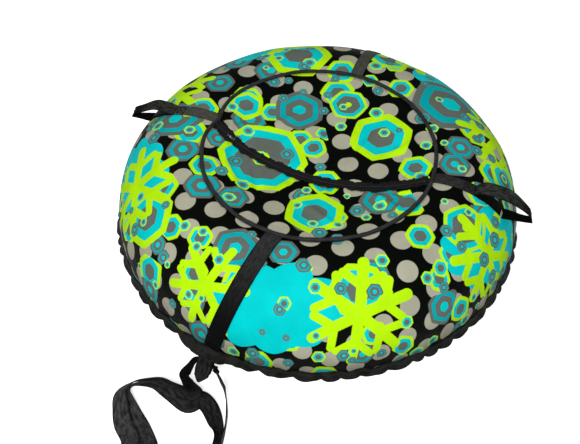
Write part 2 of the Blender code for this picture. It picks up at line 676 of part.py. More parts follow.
def make_tow_loop():
    """A folded tab of webbing sewn under the binding, open across for the leash."""
    ply = (STRAP_THICKNESS + CLEARANCE) / 2
    gap = TOW_LOOP_HALF_GAP
    fold_start = TOW_LOOP_LENGTH - gap
    lower = [(0, -ply), (TOW_LOOP_ROOT_LENGTH / 2, -ply), (TOW_LOOP_ROOT_LENGTH, -gap)]
    fold = []
    for step in FOLD_SHARES:
        turn = math.radians(-90 + 180 * step)
        fold.append((fold_start + gap * math.cos(turn), gap * math.sin(turn)))
    upper = [(x, -y) for x, y in reversed(lower)]
    outline = band_outline(lower + fold + upper, STRAP_THICKNESS)
    top = max(y for x, y in outline if x < TOW_LOOP_ROOT_LENGTH / 2)
    local = [(x, y - top) for x, y in outline]
    return outline_solid(
        "tow_loop", [local], TOW_LOOP_WIDTH, GREY_WEBBING,
        location=around(*TOW_LOOP_ROOT, TOW_LOOP_AZIMUTH), rotation=(90, TOW_LOOP_SLOPE, TOW_LOOP_AZIMUTH))


def smooth_loop(points, steps):
    """Values read at even steps along a smooth closed curve through the points."""
    count = len(points)
    values = []
    for i in range(steps):
        place_along = count * i / steps
        k = int(place_along)
        t = place_along - k
        before, here = points[k - 1], points[k]
        ahead, beyond = points[(k + 1) % count], points[(k + 2) % count]
        slope = (ahead - before) * t
        bend = (before * 2 - here * 5 + ahead * 4 - beyond) * t * t
        twist = (here * 3 - before - ahead * 3 + beyond) * t * t * t
        values.append((here * 2 + slope + bend + twist) / 2)
    return values


def make_leash():
    """The sling's band, turned and narrowed along its route as the route's table says."""
    centres = smooth_loop([Vector(point[:3]) for point in LEASH_ROUTE], LEASH_STEPS)
    turns = smooth_loop([
        Vector((math.cos(math.radians(point[3])), math.sin(math.radians(point[3])), point[4]))
        for point in LEASH_ROUTE], LEASH_STEPS)
    rings = []
    for i, (centre, (level_share, up_share, width_share)) in enumerate(zip(centres, turns)):
        along = centres[(i + 1) % LEASH_STEPS] - centres[i - 1]
        level = along.cross(Vector((0, 0, 1))).normalized()
        up = level.cross(along).normalized()
        across = (level * level_share + up * up_share).normalized()
        out = along.cross(across).normalized()
        rings.append(band_ring(centre, across * LEASH_WIDTH * width_share / 2, out * LEASH_THICKNESS / 2))
    loft("tow_leash", rings, BLACK_WEBBING, closed=True)


def make_inner_tube():
    outer_side = spread(90.0, -90.0, 2 * TUBE_ROWS)
    inner_side = spread(-90.0, -VALVE_FACE_ANGLE, TUBE_ROWS)[1:]
    profile = [tube_point(angle) for angle in outer_side + inner_side]
    profile += [tube_point(-angle) for angle in inner_side[:0:-1]]
    tube = turned("inner_tube", profile, BLACK_RUBBER, TUBE_STEPS, closed=True)
    add_wall(tube, TUBE_WALL, -1)
    hole = bpy.data.meshes.new("valve_hole_tool")
    build = bmesh.new()
    bmesh.ops.create_cone(
        build, cap_ends=True, segments=ROUND_SIDES,
        radius1=VALVE_BORE_RADIUS, radius2=VALVE_BORE_RADIUS, depth=VALVE_STEM_LENGTH)
    build.to_mesh(hole)
    build.free()
    cutter = place("valve_hole_tool", hole, BLACK_RUBBER, **valve_placing(0))
    boolean(tube, cutter, 'DIFFERENCE')


def valve_placing(distance):
    """Where a valve piece sits, pointing at the middle, at a distance off the inner tube."""
    base = VALVE_FACE_RADIUS - distance
    return {"location": around(base, SECTION_DROP, VALVE_ANGLE), "rotation": (90, 0, VALVE_ANGLE - 90.0)}


def ring_profile(inner, outer, length):
    return [(inner, length), (outer, length), (outer, 0), (inner, 0)]


def make_valve():
    patch = VALVE_PATCH_THICKNESS
    base = ring_profile(VALVE_BORE_RADIUS, VALVE_PATCH_RADIUS, patch)
    turned("valve_base", base, BLACK_RUBBER, ROUND_SIDES, closed=True, **valve_placing(CLEARANCE))
    foot = CLEARANCE + patch + CLEARANCE
    stem = ring_profile(VALVE_STEM_BORE, VALVE_STEM_RADIUS, VALVE_STEM_LENGTH)
    turned("valve_stem", stem, BRASS, ROUND_SIDES, closed=True, **valve_placing(foot))
    core = ring_profile(0, VALVE_CORE_RADIUS, VALVE_CORE_LENGTH)
    core_start = foot + VALVE_STEM_LENGTH - VALVE_CORE_LENGTH - CLEARANCE
    turned("valve_core", core, BRASS, ROUND_SIDES, **valve_placing(core_start))
    inside, ceiling = VALVE_STEM_RADIUS + CLEARANCE, VALVE_CAP_LENGTH - VALVE_CAP_WALL
    cap = [(0, VALVE_CAP_LENGTH), (VALVE_CAP_RADIUS, VALVE_CAP_LENGTH), (VALVE_CAP_RADIUS, 0)]
    cap += [(inside, 0), (inside, ceiling), (0, ceiling)]
    cap_start = foot + VALVE_STEM_LENGTH - VALVE_CAP_OVERLAP
    turned("valve_cap", cap, BLACK_PLASTIC, ROUND_SIDES, **valve_placing(cap_start))


for leftover in list(bpy.data.objects):
    bpy.data.objects.remove(leftover)

parts = collection("snow_tube")
tools = collection("shaping_tools")
zip_axis = bpy.data.objects.new("zip_axis", None)
parts.objects.link(zip_axis)
zip_turn = math.radians(ZIP_TILT)
zip_rise = ZIP_RADIUS - ZIP_SAGITTA
zip_axis.location = (0, zip_rise * math.cos(zip_turn), SEAT_EDGE_HEIGHT + zip_rise * math.sin(zip_turn))
zip_axis.rotation_euler = (zip_turn, 0, 0)
bpy.context.view_layer.update()

make_covers()
make_binding()
make_piping()
make_seat()
make_zip_strips()
make_pull(make_slider())
make_planar_straps()
make_tow_strap()
make_handles()
make_box_stitches()
make_tow_loop()
make_leash()
make_inner_tube()
make_valve()
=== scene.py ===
"""Looks of an inflatable snow tube in a printed cloth cover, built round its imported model."""
import math
import random

import bmesh
import bpy
from mathutils import Matrix, Vector


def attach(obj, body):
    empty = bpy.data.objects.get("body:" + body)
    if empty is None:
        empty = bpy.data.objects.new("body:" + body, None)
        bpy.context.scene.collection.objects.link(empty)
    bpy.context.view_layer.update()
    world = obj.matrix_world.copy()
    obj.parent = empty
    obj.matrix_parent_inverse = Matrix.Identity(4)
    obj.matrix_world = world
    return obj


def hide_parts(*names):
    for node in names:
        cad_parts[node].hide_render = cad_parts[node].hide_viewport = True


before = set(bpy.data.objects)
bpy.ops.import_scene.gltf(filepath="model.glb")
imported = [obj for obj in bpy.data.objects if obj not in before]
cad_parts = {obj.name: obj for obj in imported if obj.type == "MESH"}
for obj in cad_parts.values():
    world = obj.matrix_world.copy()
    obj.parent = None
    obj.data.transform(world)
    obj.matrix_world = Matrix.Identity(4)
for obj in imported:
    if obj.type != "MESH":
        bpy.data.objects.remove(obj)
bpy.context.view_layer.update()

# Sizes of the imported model, in metres and degrees. A section angle is 0 on the tube's outer side
# and 90 on its crest.
CROWN_RADIUS = 0.300
SECTION_RADIUS = 0.175
SECTION_DROP = 0.150
SEAM_ANGLE = -14.0
PIPING_RING_RADIUS = 0.268
PIPING_RADIUS = 0.004
PIPING_HEIGHT = 0.323194
TOP_EDGE_ANGLE = math.degrees(math.acos(
    (PIPING_RING_RADIUS + PIPING_RADIUS - CROWN_RADIUS) / SECTION_RADIUS))
SEAM_HEIGHT = SECTION_DROP + SECTION_DROP * math.sin(math.radians(SEAM_ANGLE))
SEAT_EDGE_RADIUS = 0.2635
SEAT_EDGE_HEIGHT = 0.321994
SEAT_SAG = 0.004
ZIP_CENTRE = Vector((0, 0.399405, 0.508239))
ZIP_TILT = Matrix.Rotation(math.radians(25.0), 3, "X")
ZIP_RADIUS = 0.512694
ZIP_END_ANGLE = 29.7711
SLIDER_ANGLE = -23.0658
TAPE_OUTER = 0.0075
STRAP_THICKNESS = 0.0018
STRAP_GAP = 0.0003
TOW_STRAP_WIDTH = 0.040
SIDE_STRAP_WIDTH = 0.030
FRONT = -90.0
TOW_STRAP_DRIFT = 9.0
TOW_AZIMUTH = FRONT - TOW_STRAP_DRIFT
SIDE_AZIMUTHS = {"right": 2.0, "left": 178.0}
HANDLE_ROOT_ANGLE = 69.0
ROOT_RADIUS = 0.363
# Degrees by which each side strap comes down askew; the left one goes towards the front.
SLANTS = {"right": 0.0, "left": 1.0}

# The tow sling's middle line, with its roll in degrees and its share of the full width.
LEASH_WIDTH = 0.040
LEASH_ROUTE = (
    (-0.078, -0.4916, 0.0985, 50, 0.45), (-0.102, -0.4895, 0.0955, 51, 0.34),
    (-0.110, -0.5045, 0.087, 55, 0.43), (-0.1181, -0.5193, 0.067, 50, 0.70),
    (-0.1045, -0.5297, 0.056, 38, 0.98), (-0.0865, -0.5363, 0.05, 44, 1.0),
    (-0.101, -0.546, 0.043, 76, 1.0), (-0.129, -0.537, 0.038, 101, 1.0),
    (-0.167, -0.528, 0.0325, 110, 1.0), (-0.198, -0.538, 0.0315, 114, 1.0),
    (-0.229, -0.558, 0.032, 122, 1.0), (-0.244, -0.59, 0.028, 140, 1.0),
    (-0.23, -0.621, 0.02, 155, 1.0), (-0.208, -0.653, 0.017, 168, 1.0),
    (-0.172, -0.688, 0.017, 172, 1.0), (-0.158, -0.752, 0.022, 232, 1.0),
    (-0.13, -0.774, 0.023, 270, 1.0), (-0.1, -0.752, 0.021, 312, 1.0),
    (-0.124, -0.691, 0.011, 350, 1.0), (-0.163, -0.649, 0.009, 357, 1.0),
    (-0.208, -0.615, 0.009, 374, 1.0), (-0.238, -0.588, 0.015, 398, 1.0),
    (-0.236, -0.563, 0.018, 411, 1.0), (-0.213, -0.546, 0.017, 403, 1.0),
    (-0.181, -0.537, 0.016, 388, 1.0), (-0.143, -0.543, 0.013, 358, 1.0),
    (-0.0993, -0.555, 0.011, 344, 1.0), (-0.0787, -0.5335, 0.011, 346, 1.0),
    (-0.0492, -0.5462, 0.0115, 362, 1.0), (-0.018, -0.583, 0.016, 396, 1.0),
    (0.0, -0.619, 0.0215, 438, 1.0), (0.006, -0.68, 0.0215, 446, 1.0),
    (0.024, -0.706, 0.022, 450, 1.0), (0.042, -0.682, 0.022, 456, 1.0),
    (0.014, -0.627, 0.022, 452, 1.0), (0.006, -0.589, 0.022, 446, 1.0),
    (-0.008, -0.545, 0.026, 451, 1.0), (-0.026, -0.512, 0.04, 450, 0.95),
    (-0.0397, -0.4992, 0.0575, 454, 0.68), (-0.0531, -0.4925, 0.0785, 462, 0.42),
    (-0.0542, -0.4954, 0.0985, 446, 0.32),
)
LEASH_STEPS = 328

# The map that cloth and webbing carry, in metres.
CLOTH_MAP = "Cloth"

# Colours, as linear values.
INK_BLACK = (0.0012, 0.0020, 0.0012)
DOT_GREY = (0.400, 0.395, 0.300)
MID_GREY = (0.124, 0.150, 0.126)
CYAN = (0.0, 0.600, 0.610)
DEEP_CYAN = (0.0, 0.400, 0.440)
LIME = (0.480, 0.880, 0.004)
STITCH_GREY = (0.030, 0.031, 0.029)
WHITE = (1.0, 1.0, 1.0)
FLOOR_GREY = (0.34, 0.34, 0.34)
# Each finish goes between a dark and a pale colour.
COATING_TONES = ((0.010, 0.010, 0.010), (0.022, 0.022, 0.021))
TOW_TONES = ((0.008, 0.0082, 0.0085), (0.022, 0.0225, 0.023))
SIDE_TONES = ((0.010, 0.0105, 0.010), (0.044, 0.0455, 0.043))
# The left and rear straps' webbing: the side webbing made paler, as painted light.
PAINTED_LIGHT_TONES = ((0.036, 0.036, 0.030), (0.094, 0.093, 0.076))
HANDLE_TONES = ((0.0015, 0.002, 0.0015), (0.024, 0.025, 0.022))
# The tab's webbing is darker than the sling's: painted shade, where it hangs under the rim.
TAB_TONES = ((0.0008, 0.0008, 0.0008), (0.030, 0.0305, 0.0295))
LEASH_TONES = ((0.006, 0.0062, 0.0058), (0.043, 0.0435, 0.0425))
BINDING_TONES = ((0.0015, 0.002, 0.0015), (0.019, 0.0195, 0.0172))
PIPING_TONES = ((0.006, 0.006, 0.0065), (0.022, 0.022, 0.023))
TAPE_TONES = ((0.002, 0.002, 0.002), (0.010, 0.010, 0.010))
TEETH_TONES = ((0.002, 0.002, 0.002), (0.007, 0.007, 0.007))
THREAD_TONES = ((0.002, 0.002, 0.002), (0.006, 0.006, 0.006))
METAL_TONES = ((0.014, 0.014, 0.015), (0.30, 0.30, 0.31))
BRASS_TONES = ((0.52, 0.36, 0.13), (0.66, 0.50, 0.21))
RUBBER_TONES = ((0.012, 0.012, 0.012), (0.026, 0.025, 0.024))
CAP_TONES = ((0.008, 0.008, 0.008), (0.018, 0.018, 0.018))


class Wire:
    """A socket of a finish; Python's operators on it add Math nodes."""

    def __init__(self, finish, socket):
        self.finish = finish
        self.socket = socket

    def __add__(self, other):
        return self.finish.math("ADD", self, other)

    __radd__ = __add__

    def __sub__(self, other):
        return self.finish.math("SUBTRACT", self, other)

    def __rsub__(self, other):
        return self.finish.math("SUBTRACT", other, self)

    def __mul__(self, other):
        return self.finish.math("MULTIPLY", self, other)

    __rmul__ = __mul__

    def __truediv__(self, other):
        return self.finish.math("DIVIDE", self, other)

    def __lt__(self, other):
        return self.finish.math("LESS_THAN", self, other)

    def __gt__(self, other):
        return self.finish.math("GREATER_THAN", self, other)

    def __abs__(self):
        return self.finish.math("ABSOLUTE", self)


class Finish:
    """A material in the making, with short calls for its nodes."""

    def __init__(self, name):
        self.material = bpy.data.materials.new(name)
        self.material.use_nodes = True
        self.tree = self.material.node_tree
        self.shader = self.tree.nodes["Principled BSDF"]

    def node(self, kind, settings=None, values=(), output=0):
        """A node of a type, its settings, then the values or links of its sockets."""
        made = self.tree.nodes.new(kind)
        for name, value in (settings or {}).items():
            if name == "stops":
                stops = made.color_ramp.elements
                while len(stops) < len(value):
                    stops.new(1.0)
                for stop, (position, colour) in zip(stops, value):
                    stop.position = position
                    stop.color = (*colour, 1.0)
            elif name == "interpolation":
                made.color_ramp.interpolation = value
            else:
                setattr(made, name, value)
        pairs = values.items() if isinstance(values, dict) else enumerate(values)
        for key, value in pairs:
            self.feed(made.inputs[key], value)
        return Wire(self, made.outputs[output])

    def feed(self, socket, value):
        if isinstance(value, Wire):
            self.tree.links.new(value.socket, socket)
        elif socket.type == "RGBA" and len(value) == 3:
            socket.default_value = (*value, 1.0)
        else:
            socket.default_value = value

    def math(self, operation, *values):
        return self.node("ShaderNodeMath", {"operation": operation}, values)

    def ripple(self, place, pitch):
        """A sine wave along a place in metres, with one crest to each pitch."""
        return self.math("SINE", place * (math.tau / pitch))

    def map(self):
        return self.node("ShaderNodeUVMap", {"uv_map": CLOTH_MAP})

    def place(self):
        return self.node("ShaderNodeTexCoord", output=3)

    def split(self, vector):
        made = self.node("ShaderNodeSeparateXYZ", None, (vector,))
        return [Wire(self, socket) for socket in made.socket.node.outputs]

    def join(self, x, y, z=0.0):
        return self.node("ShaderNodeCombineXYZ", None, (x, y, z))

    def vector(self, operation, *values, output=0):
        return self.node("ShaderNodeVectorMath", {"operation": operation}, values, output)

    def length(self, vector):
        return self.vector("LENGTH", vector, output=1)

    def blend(self, factor, first, second, kind="MIX"):
        settings = {"data_type": "RGBA", "blend_type": kind}
        return self.node("ShaderNodeMix", settings, {0: factor, 6: first, 7: second}, 2)

    def shade(self, colour, tone):
        """The colour times a number."""
        return self.blend(1.0, colour, self.join(tone, tone, tone), "MULTIPLY")

    def most(self, first, second):
        return self.math("MAXIMUM", first, second)

    def fade(self, value, low, high, start=0.0, end=1.0):
        """The value moved from low..high to start..end, smoothly and clamped."""
        settings = {"interpolation_type": "SMOOTHSTEP"}
        return self.node("ShaderNodeMapRange", settings, (value, low, high, start, end))

    def spread_of(self, noise, low, high):
        """A noise's usual range moved to low..high."""
        return self.fade(noise, 0.2, 0.8, low, high)

    def noise(self, vector, scale, detail, roughness=0.5):
        values = {"Vector": vector, "Scale": scale, "Detail": detail, "Roughness": roughness}
        return self.node("ShaderNodeTexNoise", None, values)

    def bump(self, height, distance, strength, under=None):
        values = {"Height": height, "Distance": distance, "Strength": strength}
        if under:
            values["Normal"] = under
        return self.node("ShaderNodeBump", None, values)

    def finish(self, colour, roughness, normal=None, metallic=0.0, **fixed):
        """Feed the shader; `fixed` holds plain values for its other sockets."""
        self.feed(self.shader.inputs["Base Color"], colour)
        self.feed(self.shader.inputs["Roughness"], roughness)
        self.feed(self.shader.inputs["Metallic"], metallic)
        if normal:
            self.feed(self.shader.inputs["Normal"], normal)
        for name, value in fixed.items():
            self.feed(self.shader.inputs[name.replace("_", " ")], value)
        return self.material


# The cover's print, laid out in metres of cloth from the middle of the seat.

DOT_PITCH = 0.072
DOT_RADIUS = 0.0235
DOT_EDGE = 0.03
HEXAGON_SHARE = 0.866
PRINT_EDGE = 0.0007
# Motifs stand round a ring, each up to half of the scatter in or out of it.
RING_SCATTER = 0.06
FLAKES = 8
FLAKE_RING = 0.462
FLAKE_ARM = ((0.0, 0.0), (0.098, 0.0))
FLAKE_ARM_HALF_WIDTH = 0.0108
FLAKE_TWIG = ((0.052, 0.0), (0.076, 0.036))
FLAKE_TWIG_HALF_WIDTH = 0.0084
PATCHES = 5
PATCH_RING = 0.455
PATCH_RADIUS = 0.100
PATCH_SPREAD = 0.03
PATCH_SCALLOP = 0.028
PATCH_STRETCH = 1.5
# The flakes keep clear of the seat.
FLAKELESS_RADIUS = 0.300
# From here down to the seam, in metres along the cloth, the print is darkened with painted shade, as the
# lower rim turns away from the light.
LOW_CLOTH = (0.520, 0.612)
LOW_CLOTH_SHADE = 0.56
# Nested hexagons, listed one by one: u, v, radius, turn in degrees, and which set of inks.
HEXAGONS = (
    (-0.118, -0.052, 0.098, 12, 0), (0.052, -0.168, 0.064, 40, 1), (0.176, -0.080, 0.046, 20, 2),
    (-0.020, 0.020, 0.030, 5, 1), (0.118, 0.102, 0.070, 33, 1), (-0.092, 0.118, 0.058, 50, 2),
    (0.012, 0.176, 0.044, 10, 0), (0.222, 0.030, 0.036, 25, 1), (-0.214, 0.082, 0.040, 44, 1),
    (-0.160, 0.292, 0.078, 15, 1), (0.240, 0.262, 0.092, 28, 2), (-0.350, -0.020, 0.060, 8, 2),
    (0.372, -0.090, 0.054, 50, 0), (-0.064, -0.330, 0.050, 30, 2), (0.210, -0.330, 0.058, 14, 1),
    (-0.300, -0.300, 0.066, 37, 1), (0.050, 0.380, 0.056, 22, 1), (0.430, 0.120, 0.048, 3, 1),
)


def hexagon(m, x, y):
    """Distance from the middle of a soft-cornered hexagon that has points along x."""
    flat_share, round_share = 0.7, 0.32
    flat = m.most(abs(y), abs(x) * HEXAGON_SHARE + abs(y) * 0.5)
    return flat * flat_share + m.length(m.join(x, y)) * round_share


def inks(m, share, choice):
    """The bands of a nested hexagon, from its middle at 0 to its rim at 1."""
    sets = (
        ((0.0, LIME), (0.17, MID_GREY), (0.62, CYAN), (0.84, LIME)),
        ((0.0, MID_GREY), (0.44, CYAN), (0.74, LIME), (0.98, LIME)),
        ((0.0, CYAN), (0.26, MID_GREY), (0.58, DEEP_CYAN), (0.80, MID_GREY)),
    )
    return m.node("ShaderNodeValToRGB", {"interpolation": "CONSTANT", "stops": sets[choice]}, (share,))


def edge(m, share, soft):
    """1 inside a share of 1, with a thin soft edge."""
    return m.node("ShaderNodeMapRange", None, (share, 1.0 - soft, 1.0 + soft, 1.0, 0.0))


def turned_axes(x, y, degrees):
    turn = math.radians(degrees)
    return x * math.cos(turn) + y * math.sin(turn), y * math.cos(turn) - x * math.sin(turn)


def ring_axes(m, u, v, count, ring, shift):
    """Local axes of the nearest of `count` motifs round a ring, each turned by its own amount."""
    around = m.math("ARCTAN2", v, u) / math.tau * count + shift
    number = m.math("ROUND", around)
    chance = m.node("ShaderNodeTexWhiteNoise", {"noise_dimensions": "1D"}, {"W": number}, output=1)
    first, second, third = m.split(chance)[:3]
    middle = (number - shift) * (math.tau / count)
    reach = first * RING_SCATTER + (ring - RING_SCATTER / 2)
    x = u - m.math("COSINE", middle) * reach
    y = v - m.math("SINE", middle) * reach
    angle = middle + second * math.tau
    cos, sin = m.math("COSINE", angle), m.math("SINE", angle)
    return x * cos + y * sin, y * cos - x * sin, third


def bar(m, x, y, start, end, half):
    """1 inside a bar with round ends that runs from one point to another."""
    (x0, y0), (x1, y1) = start, end
    length = math.hypot(x1 - x0, y1 - y0)
    ex, ey = (x1 - x0) / length, (y1 - y0) / length
    along = (x - x0) * ex + (y - y0) * ey
    along = along - m.node("ShaderNodeClamp", None, (along, 0.0, length))
    across = (x - x0) * -ey + (y - y0) * ex
    gap = m.length(m.join(along, across))
    return m.node("ShaderNodeMapRange", None, (gap, half - PRINT_EDGE, half + PRINT_EDGE, 1.0, 0.0))


def snow_flakes(m, u, v):
    """Broad six-armed flakes round the cover."""
    x, y, chance = ring_axes(m, u, v, FLAKES, FLAKE_RING, 0.3)
    size = chance * 0.25 + 0.92
    reach = m.length(m.join(x, y)) / size
    sixth = math.tau / 6
    folded = abs(m.math("WRAP", m.math("ARCTAN2", y, x), -sixth / 2, sixth / 2))
    along = reach * m.math("COSINE", folded)
    across = reach * m.math("SINE", folded)
    arm = bar(m, along, across, *FLAKE_ARM, FLAKE_ARM_HALF_WIDTH)
    twig = bar(m, along, across, *FLAKE_TWIG, FLAKE_TWIG_HALF_WIDTH)
    return m.most(arm, twig)


def patches(m, u, v):
    """Large cyan patches, longer than wide, with scalloped rims."""
    x, y, chance = ring_axes(m, u, v, PATCHES, PATCH_RING, 0.15)
    y = y * PATCH_STRETCH
    lobes = abs(m.math("SINE", m.math("ARCTAN2", y, x) * 4.5 + chance * 3.0))
    rim = lobes * PATCH_SCALLOP + chance * PATCH_SPREAD + PATCH_RADIUS
    return edge(m, m.length(m.join(x, y)) / rim, 0.008)


def scattered(m, place, cell, randomness, least_radius, most_radius, keep):
    """Small hexagons strewn one to a cell: share from the middle, a chance and where they are."""
    settings = {"voronoi_dimensions": "2D", "feature": "F1"}
    values = {"Vector": place, "Scale": 1 / cell, "Randomness": randomness}
    found = m.node("ShaderNodeTexVoronoi", settings, values, output=1)
    outputs = found.socket.node.outputs
    x, y, _ = m.split(m.vector("SUBTRACT", place, Wire(m, outputs["Position"])))
    size, chance, turn = m.split(found)[:3]
    radius = size * (most_radius - least_radius) + least_radius
    share = hexagon(m, *turned_axes(x, y, 20)) / radius
    return share, chance, edge(m, share, DOT_EDGE) * (turn < keep)


def print_colour(m, cloth):
    """The print's ink at a place on the cloth."""
    u, v, _ = m.split(cloth)
    rows = v / (DOT_PITCH * HEXAGON_SHARE)
    row = m.math("ROUND", rows)
    column = u / DOT_PITCH + m.math("FLOORED_MODULO", row, 2.0) * 0.5
    dx = column - m.math("ROUND", column)
    dots = m.length(m.join(dx, (rows - row) * HEXAGON_SHARE)) * (DOT_PITCH / DOT_RADIUS)
    colour = m.blend(edge(m, dots, DOT_EDGE), INK_BLACK, DOT_GREY)

    share, chance, mask = scattered(
        m, cloth, cell=0.085, randomness=0.8, least_radius=0.020, most_radius=0.044, keep=0.62)
    colour = m.blend(mask, colour, m.blend(chance > 0.5, inks(m, share, 1), inks(m, share, 2)))
    colour = m.blend(patches(m, u, v), colour, CYAN)
    for middle_u, middle_v, radius, turn, choice in HEXAGONS:
        share = hexagon(m, *turned_axes(u - middle_u, v - middle_v, turn)) / radius
        colour = m.blend(edge(m, share, PRINT_EDGE / radius), colour, inks(m, share, choice))
    outside = m.length(cloth) > FLAKELESS_RADIUS
    colour = m.blend(snow_flakes(m, u, v) * outside, colour, LIME)
    shifted = m.vector("ADD", cloth, (0.37, 0.21, 0.0))
    share, chance, mask = scattered(
        m, shifted, cell=0.052, randomness=0.9, least_radius=0.008, most_radius=0.019, keep=0.42)
    return m.blend(mask, colour, m.blend(chance > 0.45, inks(m, share, 1), inks(m, share, 2)))


def weave(m, u, v, pitch):
    """A plain weave's height, from its warp and weft."""
    return m.ripple(u, pitch) * m.ripple(v, pitch)


def printed_cloth():
    m = Finish("printed_cloth")
    cloth = m.map()
    u, v, _ = m.split(cloth)
    colour = print_colour(m, cloth)
    worn = m.fade(m.noise(cloth, 14.0, 3.0), 0.25, 0.75, 0.90, 1.04)
    # Painted shade: the cloth darkens towards the seam.
    painted_low_shade = m.fade(m.length(cloth), *LOW_CLOTH, 1.0, LOW_CLOTH_SHADE)
    creases = m.bump(m.noise(cloth, 13.0, 4.0, 0.55), 0.012, 0.5)
    normal = m.bump(weave(m, u, v, 0.0011), 0.00012, 0.5, creases)
    rough = m.spread_of(m.noise(cloth, 40.0, 2.0), 0.52, 0.68)
    return m.finish(m.shade(colour, worn * painted_low_shade), rough, normal, Specular_IOR_Level=0.03)


def coated_cloth():
    m = Finish("coated_black_cloth")
    place = m.place()
    x, y, _ = m.split(place)
    worn = m.noise(place, 11.0, 4.0)
    colour = m.blend(m.fade(worn, 0.45, 0.75), *COATING_TONES)
    folds = m.bump(m.noise(place, 18.0, 4.0), 0.006, 0.5)
    normal = m.bump(weave(m, x, y, 0.0012), 0.00012, 0.5, folds)
    return m.finish(colour, m.spread_of(worn, 0.38, 0.58), normal)


def webbing(name, dark, pale, shine, ribs=11.0, painted_shades=()):
    """Ribbed webbing, with its map in metres along it and from -1 to 1 across it.

    Each of the painted shades multiplies it between two places along it ("u") or on the object's x or z
    axis: a factor below 1 is painted shade, above 1 painted light.
    """
    m = Finish(name)
    along, across, _ = m.split(m.map())
    pick = m.ripple(along, 0.0016)
    rib = m.math("SINE", across * (math.pi * ribs))
    chevron = m.math("SINE", along * 2600.0 + rib * 1.6)
    selvedge = m.fade(abs(across), 0.84, 0.93)
    worn = m.noise(m.join(along * 60.0, across * 3.0), 1.0, 3.0, 0.6)
    colour = m.blend(m.fade(worn, 0.30, 0.72) * 0.8 + rib * 0.10, dark, pale)
    colour = m.blend(selvedge * 0.55, colour, [part * 0.5 for part in dark])
    # Painted shade and painted light, by place on the webbing.
    for axis, *shade in painted_shades:
        place = along if axis == "u" else m.split(m.place())["xyz".index(axis)]
        colour = m.shade(colour, m.fade(place, *shade))
    height = rib * 0.6 + chevron * 0.25 + pick * 0.25 - selvedge * 0.6
    normal = m.bump(height, 0.00045, 0.8)
    return m.finish(colour, m.spread_of(worn, 0.62, 0.80), normal, Specular_IOR_Level=shine)


def bound_tape():
    """The binding's ruffled tape, with a broken row of stitches along it."""
    m = Finish("ruffled_binding")
    along, across, _ = m.split(m.map())
    worn = m.noise(m.join(along * 40.0, across * 1.5), 1.0, 4.0, 0.6)
    stitch = m.ripple(along, 0.0042)
    row = 1 - m.fade(abs(across - 0.25), 0.03, 0.07)
    colour = m.blend(m.fade(worn, 0.3, 0.7), *BINDING_TONES)
    colour = m.blend(row * (stitch > 0.2) * 0.7, colour, STITCH_GREY)
    height = worn * 1.2 + m.ripple(along, 0.0013) * 0.2 - row * (stitch < 0.2) * 0.5
    normal = m.bump(height, 0.0014, 0.9)
    return m.finish(colour, m.spread_of(worn, 0.55, 0.75), normal, Specular_IOR_Level=0.08)


def cord_cloth():
    m = Finish("piping_cloth")
    along, across, _ = m.split(m.map())
    twill = m.math("SINE", along * (math.tau / 0.0018) + across * 9.0)
    worn = m.noise(m.join(along * 50.0, across), 1.0, 3.0)
    colour = m.blend(m.fade(worn, 0.3, 0.7), *PIPING_TONES)
    normal = m.bump(twill * 0.5 + worn, 0.0006, 0.6)
    return m.finish(colour, m.spread_of(worn, 0.50, 0.72), normal, Specular_IOR_Level=0.3)


def zip_tape():
    m = Finish("zip_tape")
    along, across, _ = m.split(m.map())
    knit = m.math("SINE", along * (math.tau / 0.0016) + abs(across) * 5.0)
    worn = m.noise(m.join(along * 60.0, across * 2.0), 1.0, 3.0)
    colour = m.blend(m.fade(worn, 0.3, 0.75), *TAPE_TONES)
    return m.finish(colour, 0.72, m.bump(knit * 0.5 + worn, 0.0005, 0.7), Specular_IOR_Level=0.15)


def moulded(name, dark, pale, roughness, scale=220.0):
    m = Finish(name)
    grain = m.noise(m.place(), scale, 3.0)
    colour = m.blend(m.fade(grain, 0.35, 0.75), dark, pale)
    rough = m.spread_of(grain, roughness - 0.08, roughness + 0.10)
    return m.finish(colour, rough, m.bump(grain, 0.0001, 0.4))


def plated_metal():
    """Dark plating that is worn bright in places."""
    m = Finish("plated_metal")
    place = m.place()
    grain = m.noise(place, 900.0, 3.0)
    wear = m.fade(m.noise(place, 240.0, 3.0), 0.52, 0.64)
    colour = m.blend(wear, *METAL_TONES)
    rough = m.spread_of(grain, 0.34, 0.55)
    return m.finish(colour, rough, m.bump(grain, 0.00008, 0.4), metallic=1.0)


def brass_metal():
    m = Finish("valve_brass")
    grain = m.noise(m.place(), 700.0, 3.0)
    colour = m.blend(m.fade(grain, 0.3, 0.7), *BRASS_TONES)
    rough = m.spread_of(grain, 0.24, 0.40)
    return m.finish(colour, rough, m.bump(grain, 0.0001, 0.4), metallic=1.0)


def thread():
    m = Finish("sewing_thread")
    twist = m.noise(m.place(), 1400.0, 2.0)
    colour = m.blend(m.fade(twist, 0.3, 0.7), *THREAD_TONES)
    return m.finish(colour, 0.7, m.bump(twist, 0.0002, 0.5), Specular_IOR_Level=0.2)


PRINTED = printed_cloth()
UNDERSIDE = coated_cloth()
# The tow strap darkens down its length with painted shade, as it turns down towards the floor.
TOW_WEB = webbing("tow_webbing", *TOW_TONES, shine=0.04, painted_shades=(("u", 0.0, 0.27, 2.0, 0.06),))
SIDE_WEB = webbing("side_webbing", *SIDE_TONES, shine=0.08)
# A paler copy of the side webbing, painted light, for the left and rear straps.
PAINTED_LIGHT_WEB = webbing("painted_light_webbing", *PAINTED_LIGHT_TONES, shine=0.12)
# Each handle's lower strand and tip are darkened with painted shade, and its upper strand is lightened
# with painted light.
HANDLE_WEB = webbing(
    "handle_webbing", *HANDLE_TONES, shine=0.04, painted_shades=(("u", 0.16, 0.25, 0.1, 2.5),))
TAB_WEB = webbing("tab_webbing", *TAB_TONES, shine=0.06)
